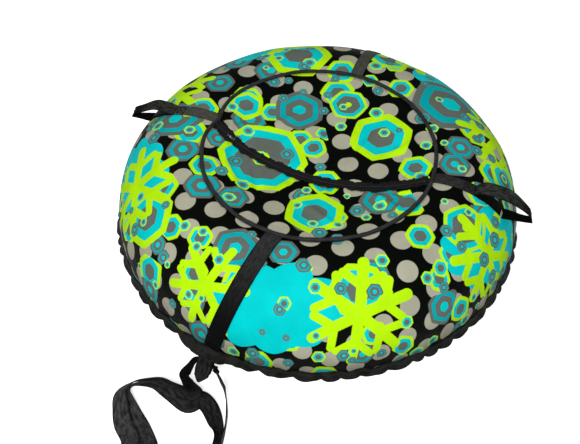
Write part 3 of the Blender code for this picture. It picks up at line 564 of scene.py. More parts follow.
# The sling is darkened with painted shade where it rises under the rim. It is lightened with painted
# light on its left part and darkened with painted shade on its right part.
LEASH_WEB = webbing(
    "black_webbing", *LEASH_TONES, ribs=14.0, shine=0.06,
    painted_shades=(("z", 0.032, 0.056, 1.0, 0.12), ("x", -0.22, -0.08, 1.8, 0.8)))
BINDING = bound_tape()
PIPING = cord_cloth()
TAPE = zip_tape()
TEETH = moulded("zip_plastic", *TEETH_TONES, 0.50)
METAL = plated_metal()
THREAD = thread()
RUBBER = moulded("tube_rubber", *RUBBER_TONES, 0.62, 60.0)
BRASS = brass_metal()
CAP_PLASTIC = moulded("valve_plastic", *CAP_TONES, 0.40)


# Shapes shared by the pieces.

def section_point(angle, grow=0.0):
    """Radius and height at a section angle, on the cover's skin or `grow` outside it."""
    half_height = SECTION_RADIUS if angle >= 0 else SECTION_DROP
    turn = math.radians(angle)
    radius = CROWN_RADIUS + (SECTION_RADIUS + grow) * math.cos(turn)
    return radius, SECTION_DROP + (half_height + grow) * math.sin(turn)


def spread(start, end, steps):
    return [start + (end - start) * i / steps for i in range(steps + 1)]


def around(radius, height, azimuth):
    turn = math.radians(azimuth)
    return Vector((radius * math.cos(turn), radius * math.sin(turn), height))


def polar(point):
    """A point's distance from the tube's upright axis, and its azimuth in degrees."""
    return math.hypot(point.x, point.y), math.degrees(math.atan2(point.y, point.x))


def section_angle(radius, height):
    return math.degrees(math.atan2(height - SECTION_DROP, radius - CROWN_RADIUS))


def ease(value, low, high):
    """0 below low, 1 above high and smooth between."""
    share = min(max((value - low) / (high - low), 0.0), 1.0)
    return share * share * (3 - 2 * share)


def knotted_wave(knots, seed, low=0.55):
    """A closed wave over azimuth whose crests and troughs are unevenly spaced and unevenly high."""
    chance = random.Random(seed)
    steps = [chance.uniform(0.6, 1.4) for _ in range(knots)]
    whole = sum(steps)
    places, total = [], 0.0
    for step in steps:
        places.append(360.0 * total / whole)
        total += step
    places.append(360.0)
    heights = [(-1) ** i * chance.uniform(low, 1.0) for i in range(knots)]
    heights.append(heights[0])

    def wave(azimuth):
        turn = azimuth % 360.0
        low_end, high_end = 0, knots
        while high_end - low_end > 1:
            middle = (low_end + high_end) // 2
            if places[middle] <= turn:
                low_end = middle
            else:
                high_end = middle
        share = ease(turn, places[low_end], places[low_end + 1])
        return heights[low_end] + (heights[low_end + 1] - heights[low_end]) * share

    return wave


def lobed_edge(lobes, seed):
    """A closed row of round lobes over azimuth, 0 in the notches; their widths and heights differ."""
    chance = random.Random(seed)
    widths = [chance.uniform(0.45, 1.5) for _ in range(lobes)]
    whole = sum(widths)
    heights = [chance.uniform(0.65, 1.0) for _ in range(lobes)]
    ends = [360.0 * sum(widths[:i + 1]) / whole for i in range(lobes)]

    def edge_at(azimuth):
        turn = azimuth % 360.0
        number = min(sum(1 for end in ends if end <= turn), lobes - 1)
        wide = 360.0 * widths[number] / whole
        share = (ends[number] - turn) / wide
        return heights[number] * (1 - abs(2 * share - 1) ** 2.4)

    return edge_at


RUFFLE = knotted_wave(142, 4)
SLOW_WAVE = knotted_wave(22, 9)
FOLD_WAVE = knotted_wave(96, 15)
LOBES = knotted_wave(104, 31, 0.25)
EDGE_LOBES = lobed_edge(62, 12)
# Where the tow strap draws the binding out from the seam, and how far that reaches, in degrees.
TOW_PULL = TOW_AZIMUTH - 1.5
TOW_PULL_REACH = 8.5


def as_mesh(name, build):
    mesh = bpy.data.meshes.new(name)
    build.to_mesh(mesh)
    build.free()
    return mesh


def show(thing):
    bpy.context.scene.collection.objects.link(thing)
    return thing


def finish_piece(
        name, build, material, body, nodes, wall=0.0, offset=0.0, smooth=True, apart=None):
    """A mesh object from a bmesh, with its finish, its body and the nodes it stands for."""
    mesh = as_mesh(name, build)
    if smooth:
        mesh.shade_smooth()
    if apart:
        mesh.set_sharp_from_angle(angle=math.radians(apart))
    mesh.materials.append(material)
    piece = show(bpy.data.objects.new(name, mesh))
    if wall:
        shell = piece.modifiers.new("Wall", "SOLIDIFY")
        shell.thickness = wall
        shell.offset = offset
    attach(piece, body)
    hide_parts(*nodes)
    return piece


def spun(profile, steps, closed=False):
    """A bmesh turned about Z from radius and height pairs."""
    build = bmesh.new()
    chain = [build.verts.new((radius, 0, height)) for radius, height in profile]
    lines = [build.edges.new(pair) for pair in zip(chain, chain[1:])]
    if closed:
        lines.append(build.edges.new((chain[-1], chain[0])))
    bmesh.ops.spin(
        build, geom=chain + lines, axis=(0, 0, 1), cent=(0, 0, 0), dvec=(0, 0, 0),
        angle=math.tau, steps=steps, use_merge=True, use_duplicate=False)
    bmesh.ops.remove_doubles(build, verts=build.verts, dist=1e-6)
    return build


def soften(build, edges, width, segments=1):
    bmesh.ops.bevel(
        build, geom=edges, offset=width, offset_type="OFFSET", segments=segments,
        profile=0.5, affect="EDGES", material=-1)


def add_block(build, size, centre):
    verts = bmesh.ops.create_cube(build, size=1)["verts"]
    bmesh.ops.scale(build, verts=verts, vec=size)
    bmesh.ops.translate(build, verts=verts, vec=centre)
    return verts


def stamp(build, pattern, where):
    """Add a copy of a small mesh, each of its points moved by a rule."""
    known = len(build.verts)
    build.from_mesh(pattern)
    build.verts.ensure_lookup_table()
    for vert in build.verts[known:]:
        vert.co = where(vert.co)


def outwards(build):
    """Point the faces of every closed shell outwards, from its points' present places."""
    build.normal_update()
    bmesh.ops.recalc_face_normals(build, faces=build.faces)


def face_away(build, inside):
    """Turn the faces so that they point away from what `inside` gives for a point."""
    build.normal_update()
    total = 0.0
    for face in build.faces:
        middle = face.calc_center_median()
        total += face.normal.dot((middle - inside(middle)).normalized()) * face.calc_area()
    if total < 0:
        bmesh.ops.reverse_faces(build, faces=build.faces)


def core(point):
    """The nearest point of the ring inside the tube."""
    flat = Vector((point.x, point.y, 0))
    length = max(flat.length, 1e-6)
    return Vector((point.x * CROWN_RADIUS / length, point.y * CROWN_RADIUS / length, SECTION_DROP))


def flat_cloth_place(point):
    """Where a point of the skin lies on the flat cloth, in metres from the seat's middle."""
    radius = math.hypot(point.x, point.y)
    reach = radius
    if radius > PIPING_RING_RADIUS or point.z < PIPING_HEIGHT - 0.08:
        angle = section_angle(radius, point.z)
        if angle < -120:
            angle += 360
        reach = PIPING_RING_RADIUS + SECTION_RADIUS * math.radians(TOP_EDGE_ANGLE - angle)
    share = reach / max(radius, 1e-6)
    return point.x * share, point.y * share


def lay_map(build, rule):
    """A map in metres on every face corner, by a rule that takes the corner's point."""
    layer = build.loops.layers.uv.new(CLOTH_MAP)
    for face in build.faces:
        for corner in face.loops:
            corner[layer].uv = rule(corner.vert.co)


def lay_ring_map(build, ring_radius, rule):
    """A map along a closed ring in metres, and across it by a rule that takes the corner's point."""
    layer = build.loops.layers.uv.new(CLOTH_MAP)
    for face in build.faces:
        turns = [math.atan2(corner.vert.co.y, corner.vert.co.x) for corner in face.loops]
        wraps = max(turns) - min(turns) > 3
        for corner, turn in zip(face.loops, turns):
            turn += math.tau if wraps and turn < 0 else 0.0
            corner[layer].uv = (turn * ring_radius, rule(corner.vert.co))


def band(where, steps, slices, closed=False):
    """A strip: `where` gives a point for a share along, 0 to 1, and across, -1 to 1."""
    build = bmesh.new()
    layer = build.loops.layers.uv.new(CLOTH_MAP)
    bmesh.ops.create_grid(build, x_segments=steps, y_segments=slices, size=1)
    middle = [where(i / steps, 0.0) for i in range(steps + 1)]
    reach = [0.0]
    for near, far in zip(middle, middle[1:]):
        reach.append(reach[-1] + (far - near).length)
    for face in build.faces:
        for corner in face.loops:
            point = corner.vert.co
            corner[layer].uv = (reach[round((point.x + 1) / 2 * steps)], point.y)
    for vert in build.verts:
        vert.co = where((vert.co.x + 1) / 2, vert.co.y)
    if closed:
        bmesh.ops.remove_doubles(build, verts=build.verts, dist=1e-6)
    return build


def gathered(point):
    """The point moved as the cloth is where the left strap pulls the seat's ring inwards."""
    pull, lift, half_turn, reach = 0.017, 0.0008, 17.0, 0.034
    radius, azimuth = polar(point)
    off = min(abs(azimuth % 360.0 - SIDE_AZIMUTHS["left"]) / half_turn, 1.0)
    near = (1 - off) ** 1.6 * math.exp(-((radius - PIPING_RING_RADIUS) / reach) ** 2)
    shrink = 1 - pull * near / max(radius, 1e-6)
    return Vector((point.x * shrink, point.y * shrink, point.z + lift * near))


# The cover.

def make_top_cover():
    """The printed skin, puckered along the seam and a little slack over the crest."""
    wall, pucker_depth, belly_depth, ring_sink, seam_sink = 0.0012, 0.0016, 0.0016, 0.0010, 0.0004
    build = spun([section_point(angle) for angle in spread(TOP_EDGE_ANGLE, SEAM_ANGLE, 64)], 420)
    lay_map(build, flat_cloth_place)
    face_away(build, core)
    for vert in build.verts:
        out = (vert.co - core(vert.co)).normalized()
        radius, azimuth = polar(vert.co)
        angle = section_angle(radius, vert.co.z)
        near_seam = 1 - ease(angle, SEAM_ANGLE, 22.0)
        at_seam = 1 - ease(angle, SEAM_ANGLE, SEAM_ANGLE + 5)
        near_ring = ease(angle, 88.0, TOP_EDGE_ANGLE)
        pucker = near_seam * pucker_depth * (RUFFLE(azimuth) + FOLD_WAVE(azimuth + angle * 0.12))
        belly = belly_depth * SLOW_WAVE(azimuth) * ease(angle, -10, 30) * (1 - ease(angle, 60, 95))
        sink = ring_sink * near_ring + seam_sink * near_seam
        vert.co = gathered(vert.co + out * (pucker * (1 - at_seam * 0.5) + belly - sink))
    return finish_piece(
        "cover_cloth", build, PRINTED, "cover", ["top_cover"], wall, -1)


def make_underside():
    wall, flat_radius, pucker_depth, seam_sink = 0.0015, 0.315, 0.0016, 0.0008
    profile = [section_point(angle) for angle in (SEAM_ANGLE - 0.2, *range(-18, -79, -6))]
    profile += [(flat_radius * share, 0.0) for share in (1.0, 0.9, 0.75, 0.6, 0.45, 0.3, 0.15, 0.0)]
    build = spun(profile, 280)
    face_away(build, lambda point: Vector((0, 0, 0.12)))
    for vert in build.verts:
        radius, azimuth = polar(vert.co)
        out = (vert.co - core(vert.co)).normalized()
        near_seam = ease(radius, 0.41, 0.46)
        vert.co += out * (near_seam * (pucker_depth * RUFFLE(azimuth) - seam_sink))
        vert.co.z = max(vert.co.z, 0.0)
    return finish_piece(
        "underside_cloth", build, UNDERSIDE, "cover", ["bottom_cover"], wall, -1)


def make_binding():
    """A tape folded over the seam: its upper part lies on the cover and its free edge is ruffled."""
    flap_radius, flap_height = section_point(-7.0, 0.0006)
    tip, map_radius, pucker_depth = 0.4832, 0.475, 0.0016
    lobe_reach, lobe_drop, pull_reach, pull_drop = 0.0066, 0.0042, 0.0140, 0.0080
    profile = [
        (flap_radius, flap_height), (flap_radius + 0.0016, flap_height - 0.0016),
        (0.4772, SEAM_HEIGHT + 0.0108), (0.4790, SEAM_HEIGHT + 0.0066), (0.4812, SEAM_HEIGHT + 0.0036),
        (tip - 0.0004, SEAM_HEIGHT + 0.0016), (tip, SEAM_HEIGHT), (tip - 0.0006, SEAM_HEIGHT - 0.0017),
        (tip - 0.0026, SEAM_HEIGHT - 0.0026), (0.4760, SEAM_HEIGHT - 0.0026),
        (0.4690, SEAM_HEIGHT - 0.0022), (0.4665, SEAM_HEIGHT), (0.4700, flap_height - 0.0040),
    ]
    reach = [0.0]
    for near, far in zip(profile, profile[1:]):
        reach.append(reach[-1] + math.dist(near, far))

    def share_across(point):
        place = (math.hypot(point.x, point.y), point.z)
        return reach[min(range(len(profile)), key=lambda i: math.dist(profile[i], place))] / reach[-4]

    build = spun(profile, 1080, closed=True)
    lay_ring_map(build, map_radius, share_across)
    for vert in build.verts:
        radius, azimuth = polar(vert.co)
        share = ease(radius, 0.4725, tip)
        flap = ease(vert.co.z, SEAM_HEIGHT + 0.006, flap_height)
        pulled = max(0.0, 1 - abs((azimuth - TOW_PULL) / TOW_PULL_REACH) ** 2.2)
        lobe = EDGE_LOBES(azimuth) * (1 - 0.6 * pulled)
        ruffle = RUFFLE(azimuth) + FOLD_WAVE(azimuth - 1.7)
        swell = lobe_reach * lobe - 0.0030 + 0.0008 * RUFFLE(azimuth + 1.1) + pull_reach * pulled
        swell *= share
        swell += (1 - share) * pucker_depth * ruffle * ease(radius, 0.4705, 0.474)
        vert.co.x *= 1 + swell / radius
        vert.co.y *= 1 + swell / radius
        rise = 0.0020 * LOBES(azimuth + 1.5) + 0.0012 * RUFFLE(azimuth) + 0.0018
        rise -= lobe_drop * lobe + pull_drop * pulled
        vert.co.z += share * rise + flap * (0.0034 * LOBES(azimuth + 4.0) - 0.0010)
    outwards(build)
    return finish_piece("seam_binding", build, BINDING, "cover", ["rim_binding"])


def make_piping():
    cord_radius, sides, sway_depth, rise_depth = 0.0047, 14, 0.0011, 0.0006
    profile = []
    for i in range(sides):
        turn = math.tau * i / sides
        profile.append((PIPING_RING_RADIUS + cord_radius * math.cos(turn), cord_radius * math.sin(turn)))

    def share_across(point):
        return math.atan2(point.z, math.hypot(point.x, point.y) - PIPING_RING_RADIUS) / math.pi

    build = spun(profile, 480, closed=True)
    lay_ring_map(build, PIPING_RING_RADIUS, share_across)
    for vert in build.verts:
        _, azimuth = polar(vert.co)
        sway = 1 + sway_depth * SLOW_WAVE(azimuth + 7) / PIPING_RING_RADIUS
        vert.co.x *= sway
        vert.co.y *= sway
        vert.co.z += PIPING_HEIGHT + rise_depth * FOLD_WAVE(azimuth)
        vert.co = gathered(vert.co)
    outwards(build)
    return finish_piece("piping_cord", build, PIPING, "cover", ["seat_piping"])


# The seat and its zip.

def zip_point(angle, radius, lift=0.0):
    """A point in the tilted plane of the zip, at a swing angle and a radius about its axis."""
    turn = math.radians(angle)
    return ZIP_CENTRE + ZIP_TILT @ Vector((radius * math.sin(turn), -radius * math.cos(turn), lift))


def zip_place(angle, point):
    """A point given from the zip's middle line, carried to a swing angle."""
    turn = Matrix.Rotation(math.radians(angle), 3, "Z")
    return ZIP_CENTRE + ZIP_TILT @ (turn @ Vector((point[0], point[1] - ZIP_RADIUS, point[2])))


# Kinks in the seat's edge along the zip: how far out, the swing angle and the width in degrees.
ZIP_KINKS = ((0.0034, -19.0, 1.3), (-0.0040, 9.3, 1.4), (0.0038, 17.6, 1.3), (-0.0030, -8.0, 1.5))


def zip_edge(angle, side):
    """Radius of the tape's free edge, which wavers as sewn cloth does; side is 1 at the front."""
    kink = sum(out * math.exp(-((angle - place) / width) ** 2) for out, place, width in ZIP_KINKS)
    waver = 0.0010 * math.sin(angle * 2.3 + side) + 0.0007 * math.sin(angle * 5.2 - side * 2)
    wide = TAPE_OUTER + 0.0024 + 0.0030 * ease(-angle, 23.2, 24.4)
    return ZIP_RADIUS + side * wide + kink + waver


# Creases in the seat cloth: each one's ends, its height or depth and its width.
SEAT_CREASES = (
    (-0.170, -0.120, -0.090, -0.215, 0.0046, 0.008), (-0.120, -0.100, -0.070, -0.180, -0.0036, 0.007),
    (-0.215, -0.030, -0.190, -0.110, 0.0040, 0.008), (0.030, -0.150, 0.120, -0.200, 0.0034, 0.009),
    (0.150, -0.060, 0.220, -0.100, 0.0046, 0.007), (0.185, -0.045, 0.235, -0.050, -0.0042, 0.006),
    (0.200, -0.020, 0.246, -0.030, 0.0042, 0.0055), (-0.050, -0.060, 0.010, -0.170, -0.0030, 0.010),
    (-0.140, 0.040, -0.070, 0.130, 0.0038, 0.009), (0.060, 0.020, 0.090, 0.130, -0.0036, 0.010),
    (-0.010, 0.000, -0.030, 0.120, 0.0032, 0.009), (0.150, 0.050, 0.200, 0.110, 0.0036, 0.008),
    (-0.220, 0.020, -0.180, 0.060, -0.0034, 0.007), (-0.030, -0.075, -0.060, -0.140, 0.0034, 0.007),
    (0.040, -0.062, 0.060, -0.120, 0.0036, 0.0065), (0.085, -0.058, 0.110, -0.110, -0.0036, 0.0065),
)


def seat_fold(x, y):
    """Height of the creases in the seat cloth."""
    height = 0.0
    for x0, y0, x1, y1, depth, width in SEAT_CREASES:
        length = math.hypot(x1 - x0, y1 - y0)
        ex, ey = (x1 - x0) / length, (y1 - y0) / length
        along = (x - (x0 + x1) / 2) * ex + (y - (y0 + y1) / 2) * ey
        across = (x - x0) * -ey + (y - y0) * ex
        height += 1.6 * depth * math.exp(-(across / width) ** 2 - (along / (length * 0.6)) ** 2)
    return height


def make_seat(name, node, side, first, last):
    """Seat cloth from the zip's tape to the piping ring, between two azimuths."""
    wall, zip_gather, ring_gather = 0.0012, 0.0011, 0.0009
    build = bmesh.new()
    bmesh.ops.create_grid(build, x_segments=120, y_segments=30, size=1)
    for vert in build.verts:
        share, across = (vert.co.x + 1) / 2, (vert.co.y + 1) / 2
        azimuth = first + (last - first) * share
        angle = ZIP_END_ANGLE * (2 * share - 1)
        inner = zip_point(angle, zip_edge(angle, side) + side * 0.0006)
        outer = around(SEAT_EDGE_RADIUS + 0.001, SEAT_EDGE_HEIGHT - 0.0004, azimuth)
        point = inner.lerp(outer, across)
        middle = math.sin(math.pi * across)
        dip = SEAT_SAG * middle * math.sin(math.pi * share)
        gather = zip_gather * math.sin(share * 150 + side) * math.exp(-across * 14)
        gather += ring_gather * FOLD_WAVE(azimuth) * math.exp(-(1 - across) * 16)
        point.z += (seat_fold(point.x, point.y) + gather) * min(1.0, middle * 3) - dip
        vert.co = gathered(point)
    lay_map(build, lambda point: (point.x, point.y))
    face_away(build, lambda point: Vector((point.x, point.y, 0)))
    return finish_piece(name, build, PRINTED, "cover", [node], wall)


def make_tapes():
    """The two black tapes, whose outer edges waver where they are sewn to the seat."""
    wall, slit, past_end = 0.0009, 0.0021, 0.9
    for node, side in (("zipper_tape_front", 1), ("zipper_tape_rear", -1)):
        def where(share, across):
            angle = (ZIP_END_ANGLE + past_end) * (2 * share - 1)
            inner, outer = ZIP_RADIUS + side * slit, zip_edge(angle, side)
            out = (across + 1) / 2
            ripple = math.sin(angle * 5.2 + side) + 0.6 * math.sin(angle * 9.1 - side * 2)
            lift = 0.0004 + 0.0008 * out + 0.0007 * ripple * out
            return zip_point(angle, inner + (outer - inner) * out, lift)

        finish_piece(
            node.replace("zipper", "zip"), band(where, 420, 6), TAPE, "cover",
            [node], wall)


def make_teeth():
    """Two rows of moulded teeth that mesh along the zip."""
    pitch, width, length, height = 0.0025, 0.0015, 0.0030, 0.0026
    narrowing, rounding, mesh_depth = 0.62, 0.00028, 0.0006
    tooth = bmesh.new()
    bmesh.ops.create_cube(tooth, size=1)
    for vert in tooth.verts:
        across = width * (narrowing if vert.co.y > 0 else 1.0)
        vert.co = Vector((vert.co.x * across, vert.co.y * length, vert.co.z * height))
    soften(tooth, tooth.edges[:], rounding)
    pattern = as_mesh("tooth_pattern", tooth)
    step = math.degrees(pitch / ZIP_RADIUS)
    count = int(2 * ZIP_END_ANGLE / step)
    for node, side, start in (("zipper_teeth_front", 1, 0.5), ("zipper_teeth_rear", -1, 1.0)):
        build = bmesh.new()
        for i in range(count):
            angle = -ZIP_END_ANGLE + (i + start) * step
            if angle <= ZIP_END_ANGLE:
                stamp(build, pattern, lambda point: zip_place(
                    angle, (point.x, -side * (point.y + mesh_depth), point.z)))
        outwards(build)
        finish_piece(
            node.replace("zipper", "zip"), build, TEETH, "cover", [node], smooth=False)
    bpy.data.meshes.remove(pattern)


# Webbing.

def strap_on_cover(end, azimuth_of, width, lift):
    """A rule for a strap that lies on the cover, from under the piping to a section angle."""
    start = TOP_EDGE_ANGLE + 0.8

    def where(share, across):
        angle = start + (end - start) * share
        tucked = 0.0022 * ease(angle, TOP_EDGE_ANGLE - 1.6, start)
        radius, height = section_point(angle, lift - tucked - 0.0004 * abs(across) ** 6)
        azimuth = azimuth_of(share) + math.degrees(across * width / 2 / radius)
        return gathered(around(radius, height, azimuth))

    return where


def make_straps():
    lift = STRAP_GAP + STRAP_THICKNESS / 2
    last = SEAM_ANGLE + math.degrees(0.0033 / SECTION_DROP)
    for name, node, drift, azimuth, width, slices, web in (
            ("front_tow_strap", "tow_strap", -TOW_STRAP_DRIFT, FRONT, TOW_STRAP_WIDTH, 10, TOW_WEB),
            ("rear_web_strap", "rear_strap", 0.0, -FRONT, SIDE_STRAP_WIDTH, 8, PAINTED_LIGHT_WEB)):
        where = strap_on_cover(
            last, lambda share: azimuth + drift * share, width, lift + 0.0012)
        finish_piece(
            name, band(where, 120, slices), web, "cover", [node], STRAP_THICKNESS)
    for side, web in (("right", SIDE_WEB), ("left", PAINTED_LIGHT_WEB)):
        where = strap_on_cover(
            HANDLE_ROOT_ANGLE, lambda share: SIDE_AZIMUTHS[side] + SLANTS[side] * share,
            SIDE_STRAP_WIDTH, lift + 0.0008)
        finish_piece(
            side + "_web_strap", band(where, 60, 8), web, "cover",
            [side + "_strap"], STRAP_THICKNESS)


# Each handle's reach, the drop of its tip, how far its upper part is twisted, and points on that
# part as shares of the reach.
HANDLES = {
    "right": (0.128, 0.042, 0.0045, (
        (0.975, -0.20), (0.84, -0.07), (0.65, 0.04), (0.44, 0.09), (0.21, 0.105), (0.08, 0.05))),
    "left": (0.120, 0.060, 0.00315, (
        (0.93, -0.378), (0.76, -0.262), (0.58, -0.12), (0.42, -0.0325), (0.21, -0.003),
        (0.08, -0.003))),
}
# How a handle's webbing is drawn together at its tip: the shares lost on its front and rear sides,
# and how far outwards its middle and its rear side's extra go, in metres.
TIP_DRAWN = {"right": (0.0, 0.70, 0.0052, -0.0038), "left": (0.23, 0.65, 0.0050, 0.0020)}
HANDLE_STEPS = 200


def smooth_path(points, steps, closed=False):
    """Points at even parameter steps along a smooth curve through the given ones."""
    count = len(points)
    spans = count if closed else count - 1
    found = []
    for i in range(steps if closed else steps + 1):
        reach = spans * i / steps
        k = min(int(reach), spans - 1)
        t = reach - k
        near = [(k + j) % count if closed else k + j for j in (-1, 0, 1, 2)]
        before, here, ahead, beyond = (points[min(max(j, 0), count - 1)] for j in near)
        slope = (ahead - before) * t
        bend = (before * 2 - here * 5 + ahead * 4 - beyond) * (t * t)
        twist = (here * 3 - before - ahead * 3 + beyond) * (t * t * t)
        found.append((here * 2 + slope + bend + twist) / 2)
    return found


def handle_line(reach, tip_drop, top_shares):
    """Middle line of a handle in its upright plane, from its lower root round to its upper one."""
    fold_radius = 0.003
    lower_lift = STRAP_GAP + STRAP_THICKNESS / 2
    upper_lift = lower_lift + STRAP_THICKNESS + STRAP_GAP
    root_radius, root_height = section_point(HANDLE_ROOT_ANGLE, upper_lift)
    start = HANDLE_ROOT_ANGLE - 0.1
    line = [Vector(section_point(angle, lower_lift + 0.0004)) for angle in spread(start, 40.0, 9)]
    fold = Vector((root_radius + reach - fold_radius, root_height - tip_drop))
    for turn in spread(-math.pi / 2, math.pi / 2, 4):
        line.append(fold + fold_radius * Vector((math.cos(turn), math.sin(turn))))
    for reach_share, rise_share in top_shares:
        line.append(Vector((root_radius + reach * reach_share, root_height + reach * rise_share)))
    line.append(Vector(section_point(start - 0.6, upper_lift)))
    return smooth_path(line, HANDLE_STEPS)


def make_handles():
    for side, azimuth in SIDE_AZIMUTHS.items():
        outward, sideways = around(1, 0, azimuth), around(1, 0, azimuth + 90)
        reach, tip_drop, twist, top_shares = HANDLES[side]
        line = handle_line(reach, tip_drop, top_shares)
        front, rear, middle, extra = TIP_DRAWN[side]
        slant = ROOT_RADIUS * math.radians(SLANTS[side])

        def where(share, across):
            radius, height = line[round(share * HANDLE_STEPS)]
            upper = ease(share, 0.55, 0.75) * (1 - ease(share, 0.90, 1.0))
            far = across if side == "right" else -across
            curl = 0.0010 * (1 - across * across) * ease(share, 0.3, 0.5)
            askew = slant * (1 - ease(radius, ROOT_RADIUS, ROOT_RADIUS + 0.11))
            tip = ease(radius, ROOT_RADIUS + reach * 0.55, ROOT_RADIUS + reach * 0.97)
            off = across * SIDE_STRAP_WIDTH / 2 * (1 - tip * (rear if far > 0 else front))
            point = outward * (radius + tip * (middle + extra * far)) + sideways * (off + askew)
            return point + Vector((0, 0, height + upper * twist * far - curl))

        finish_piece(
            side + "_carry_handle", band(where, HANDLE_STEPS, 8), HANDLE_WEB, side + "_handle",
            [side + "_handle"], STRAP_THICKNESS)


def make_box_stitches():
    """A sewn square with a cross in it, each stitch a short rounded thread."""
    half, stitch_pitch, thread_radius, stitch_length = 0.0102, 0.0034, 0.0011, 0.0032
    thread_lift, flattening = 0.0034, 0.6
    middle_angle = HANDLE_ROOT_ANGLE + math.degrees((0.011 + 2 * 0.0021) / SECTION_RADIUS)
    stitch = bmesh.new()
    bmesh.ops.create_cone(
        stitch, cap_ends=True, segments=6, radius1=thread_radius, radius2=thread_radius,
        depth=stitch_length)
    rims = [rim for rim in stitch.edges if abs(rim.verts[0].co.z - rim.verts[1].co.z) < 1e-6]
    soften(stitch, rims, 0.0004)
    pattern = as_mesh("stitch_pattern", stitch)
    corners = [(-half, -half), (half, -half), (half, half), (-half, half)]
    lines = list(zip(corners, corners[1:] + corners[:1]))
    lines += [(corners[0], corners[2]), (corners[1], corners[3])]
    for side, azimuth in SIDE_AZIMUTHS.items():
        build = bmesh.new()
        for (x0, y0), (x1, y1) in lines:
            turn = math.atan2(y1 - y0, x1 - x0)
            count = round(math.hypot(x1 - x0, y1 - y0) / stitch_pitch)
            for i in range(count):
                share = (i + 0.5) / count
                x, y = x0 + (x1 - x0) * share, y0 + (y1 - y0) * share

                def where(point):
                    dx = x + point.z * math.cos(turn) - point.x * math.sin(turn)
                    dy = y + point.z * math.sin(turn) + point.x * math.cos(turn)
                    angle = middle_angle - math.degrees(dx / SECTION_RADIUS)
                    radius, height = section_point(angle, thread_lift + point.y * flattening)
                    return around(radius, height, azimuth + SLANTS[side] + math.degrees(dy / radius))

                stamp(build, pattern, where)
        outwards(build)
        finish_piece(
            side + "_sewn_box", build, THREAD, "cover", [side + "_box_stitch"])
    bpy.data.meshes.remove(pattern)


def make_tow_loop():
    """A folded tab under the seam, open across for the sling."""
    ply, gap, length, root, width, steps = 0.00105, 0.0046, 0.062, 0.012, 0.036, 96
    root_reach, tip_length, point_depth, tip_drawn = 0.0132, 0.026, 0.017, 0.007
    down = math.radians(50)
    outline = [Vector((-0.004, -ply)), Vector((root / 2, -ply)), Vector((root, -gap))]
    outline += [Vector((length * share, -gap - 0.0002)) for share in (0.4, 0.6, 0.78)]
    for turn in map(math.radians, (-90, -50, 0, 50, 90)):
        outline.append(Vector((length - gap + gap * math.cos(turn), gap * math.sin(turn))))
    outline += [Vector((point.x, -point.y)) for point in outline[5::-1]]
    line = smooth_path(outline, steps)
    top = ply + STRAP_THICKNESS / 2
    seam_radius = CROWN_RADIUS + SECTION_RADIUS * math.cos(math.radians(SEAM_ANGLE))
    root_radius = seam_radius + root_reach + STRAP_GAP
    root_radius += (2 * STRAP_THICKNESS + STRAP_GAP) * math.sin(down)
    origin = around(root_radius, SEAM_HEIGHT + STRAP_THICKNESS, TOW_AZIMUTH)
    outward = around(math.cos(down), 0, TOW_AZIMUTH) - Vector((0, 0, math.sin(down)))
    upward = around(math.sin(down), 0, TOW_AZIMUTH) + Vector((0, 0, math.cos(down)))
    sideways = around(1, 0, TOW_AZIMUTH + 90)

    def where(share, across):
        x, y = line[round(share * steps)]
        pinch = 1 - 0.16 * ease(x, length - 0.030, length)
        pointed = point_depth * abs(across + 0.13) ** 1.15 - tip_drawn
        x -= pointed * ease(x, length - tip_length, length)
        return origin + outward * x + upward * (y - top) + sideways * (across * width / 2 * pinch)

    finish_piece(
        "tow_loop_tab", band(where, steps, 8), TAB_WEB, "tow_loop", ["tow_loop"],
        STRAP_THICKNESS)


def make_leash():
    """The sling that hangs from the tow loop and lies on the ground."""
    wall, curl = 0.0020, 0.0008
    centres = smooth_path([Vector(point[:3]) for point in LEASH_ROUTE], LEASH_STEPS, closed=True)
    rolls = smooth_path([
        Vector((math.cos(math.radians(roll)), math.sin(math.radians(roll)), width_share))
        for _, _, _, roll, width_share in LEASH_ROUTE], LEASH_STEPS, closed=True)
    sides = []
    for i, (level_share, up_share, width_share) in enumerate(rolls):
        along = centres[(i + 1) % LEASH_STEPS] - centres[i - 1]
        level = along.cross(Vector((0, 0, 1))).normalized()
        up = level.cross(along).normalized()
        across = (level * level_share + up * up_share).normalized()
        out = along.cross(across).normalized()
        sides.append((across * (LEASH_WIDTH / 2 * width_share), out))

    def where(share, across):
        i = round(share * LEASH_STEPS) % LEASH_STEPS
        side, out = sides[i]
        return centres[i] + side * across + out * (curl * (1 - across * across))

    build = band(where, LEASH_STEPS, 10, closed=True)
    leash = finish_piece(
        "tow_sling", build, LEASH_WEB, "tow_loop", ["tow_leash"], wall)
    path = centres[4:] + centres[:1]
    length = sum((b - a).length for a, b in zip(path, path[1:]))


# The slider and its pull.

def boxes(blocks, soft):
    """Rounded blocks from sizes and centres, joined in one bmesh."""
    build = bmesh.new()
    for size, centre in blocks:
        add_block(build, size, centre)
    soften(build, build.edges[:], soft, 2)
    return build


def place_on_zip(build, angle, lift=0.0):
    for vert in build.verts:
        vert.co = zip_place(angle, (vert.co.x, vert.co.y, vert.co.z + lift))


def make_slider():
    neck, plate, length, width = 0.0018, 0.0014, 0.0110, 0.0082
    top = neck + plate
    blocks = []
    for side in (1, -1):
        blocks += [
            ((length, width, plate), (0, 0, side * (neck + plate / 2))),
            ((0.0030, 0.0012, 0.0034), (0, side * 0.00265, top + 0.0013)),
            ((length, 0.0010, 0.0012), (0, side * 0.0036, neck - 0.0001)),
        ]
    build = boxes(blocks, 0.0005)
    for vert in build.verts:
        if vert.co.z < top:
            vert.co.y *= 1 - 0.30 * ease(-vert.co.x, 0.0, length / 2)
    place_on_zip(build, SLIDER_ANGLE)
    outwards(build)
    finish_piece(
        "slider_body", build, METAL, "zip_slider", ["zipper_slider"], apart=35)


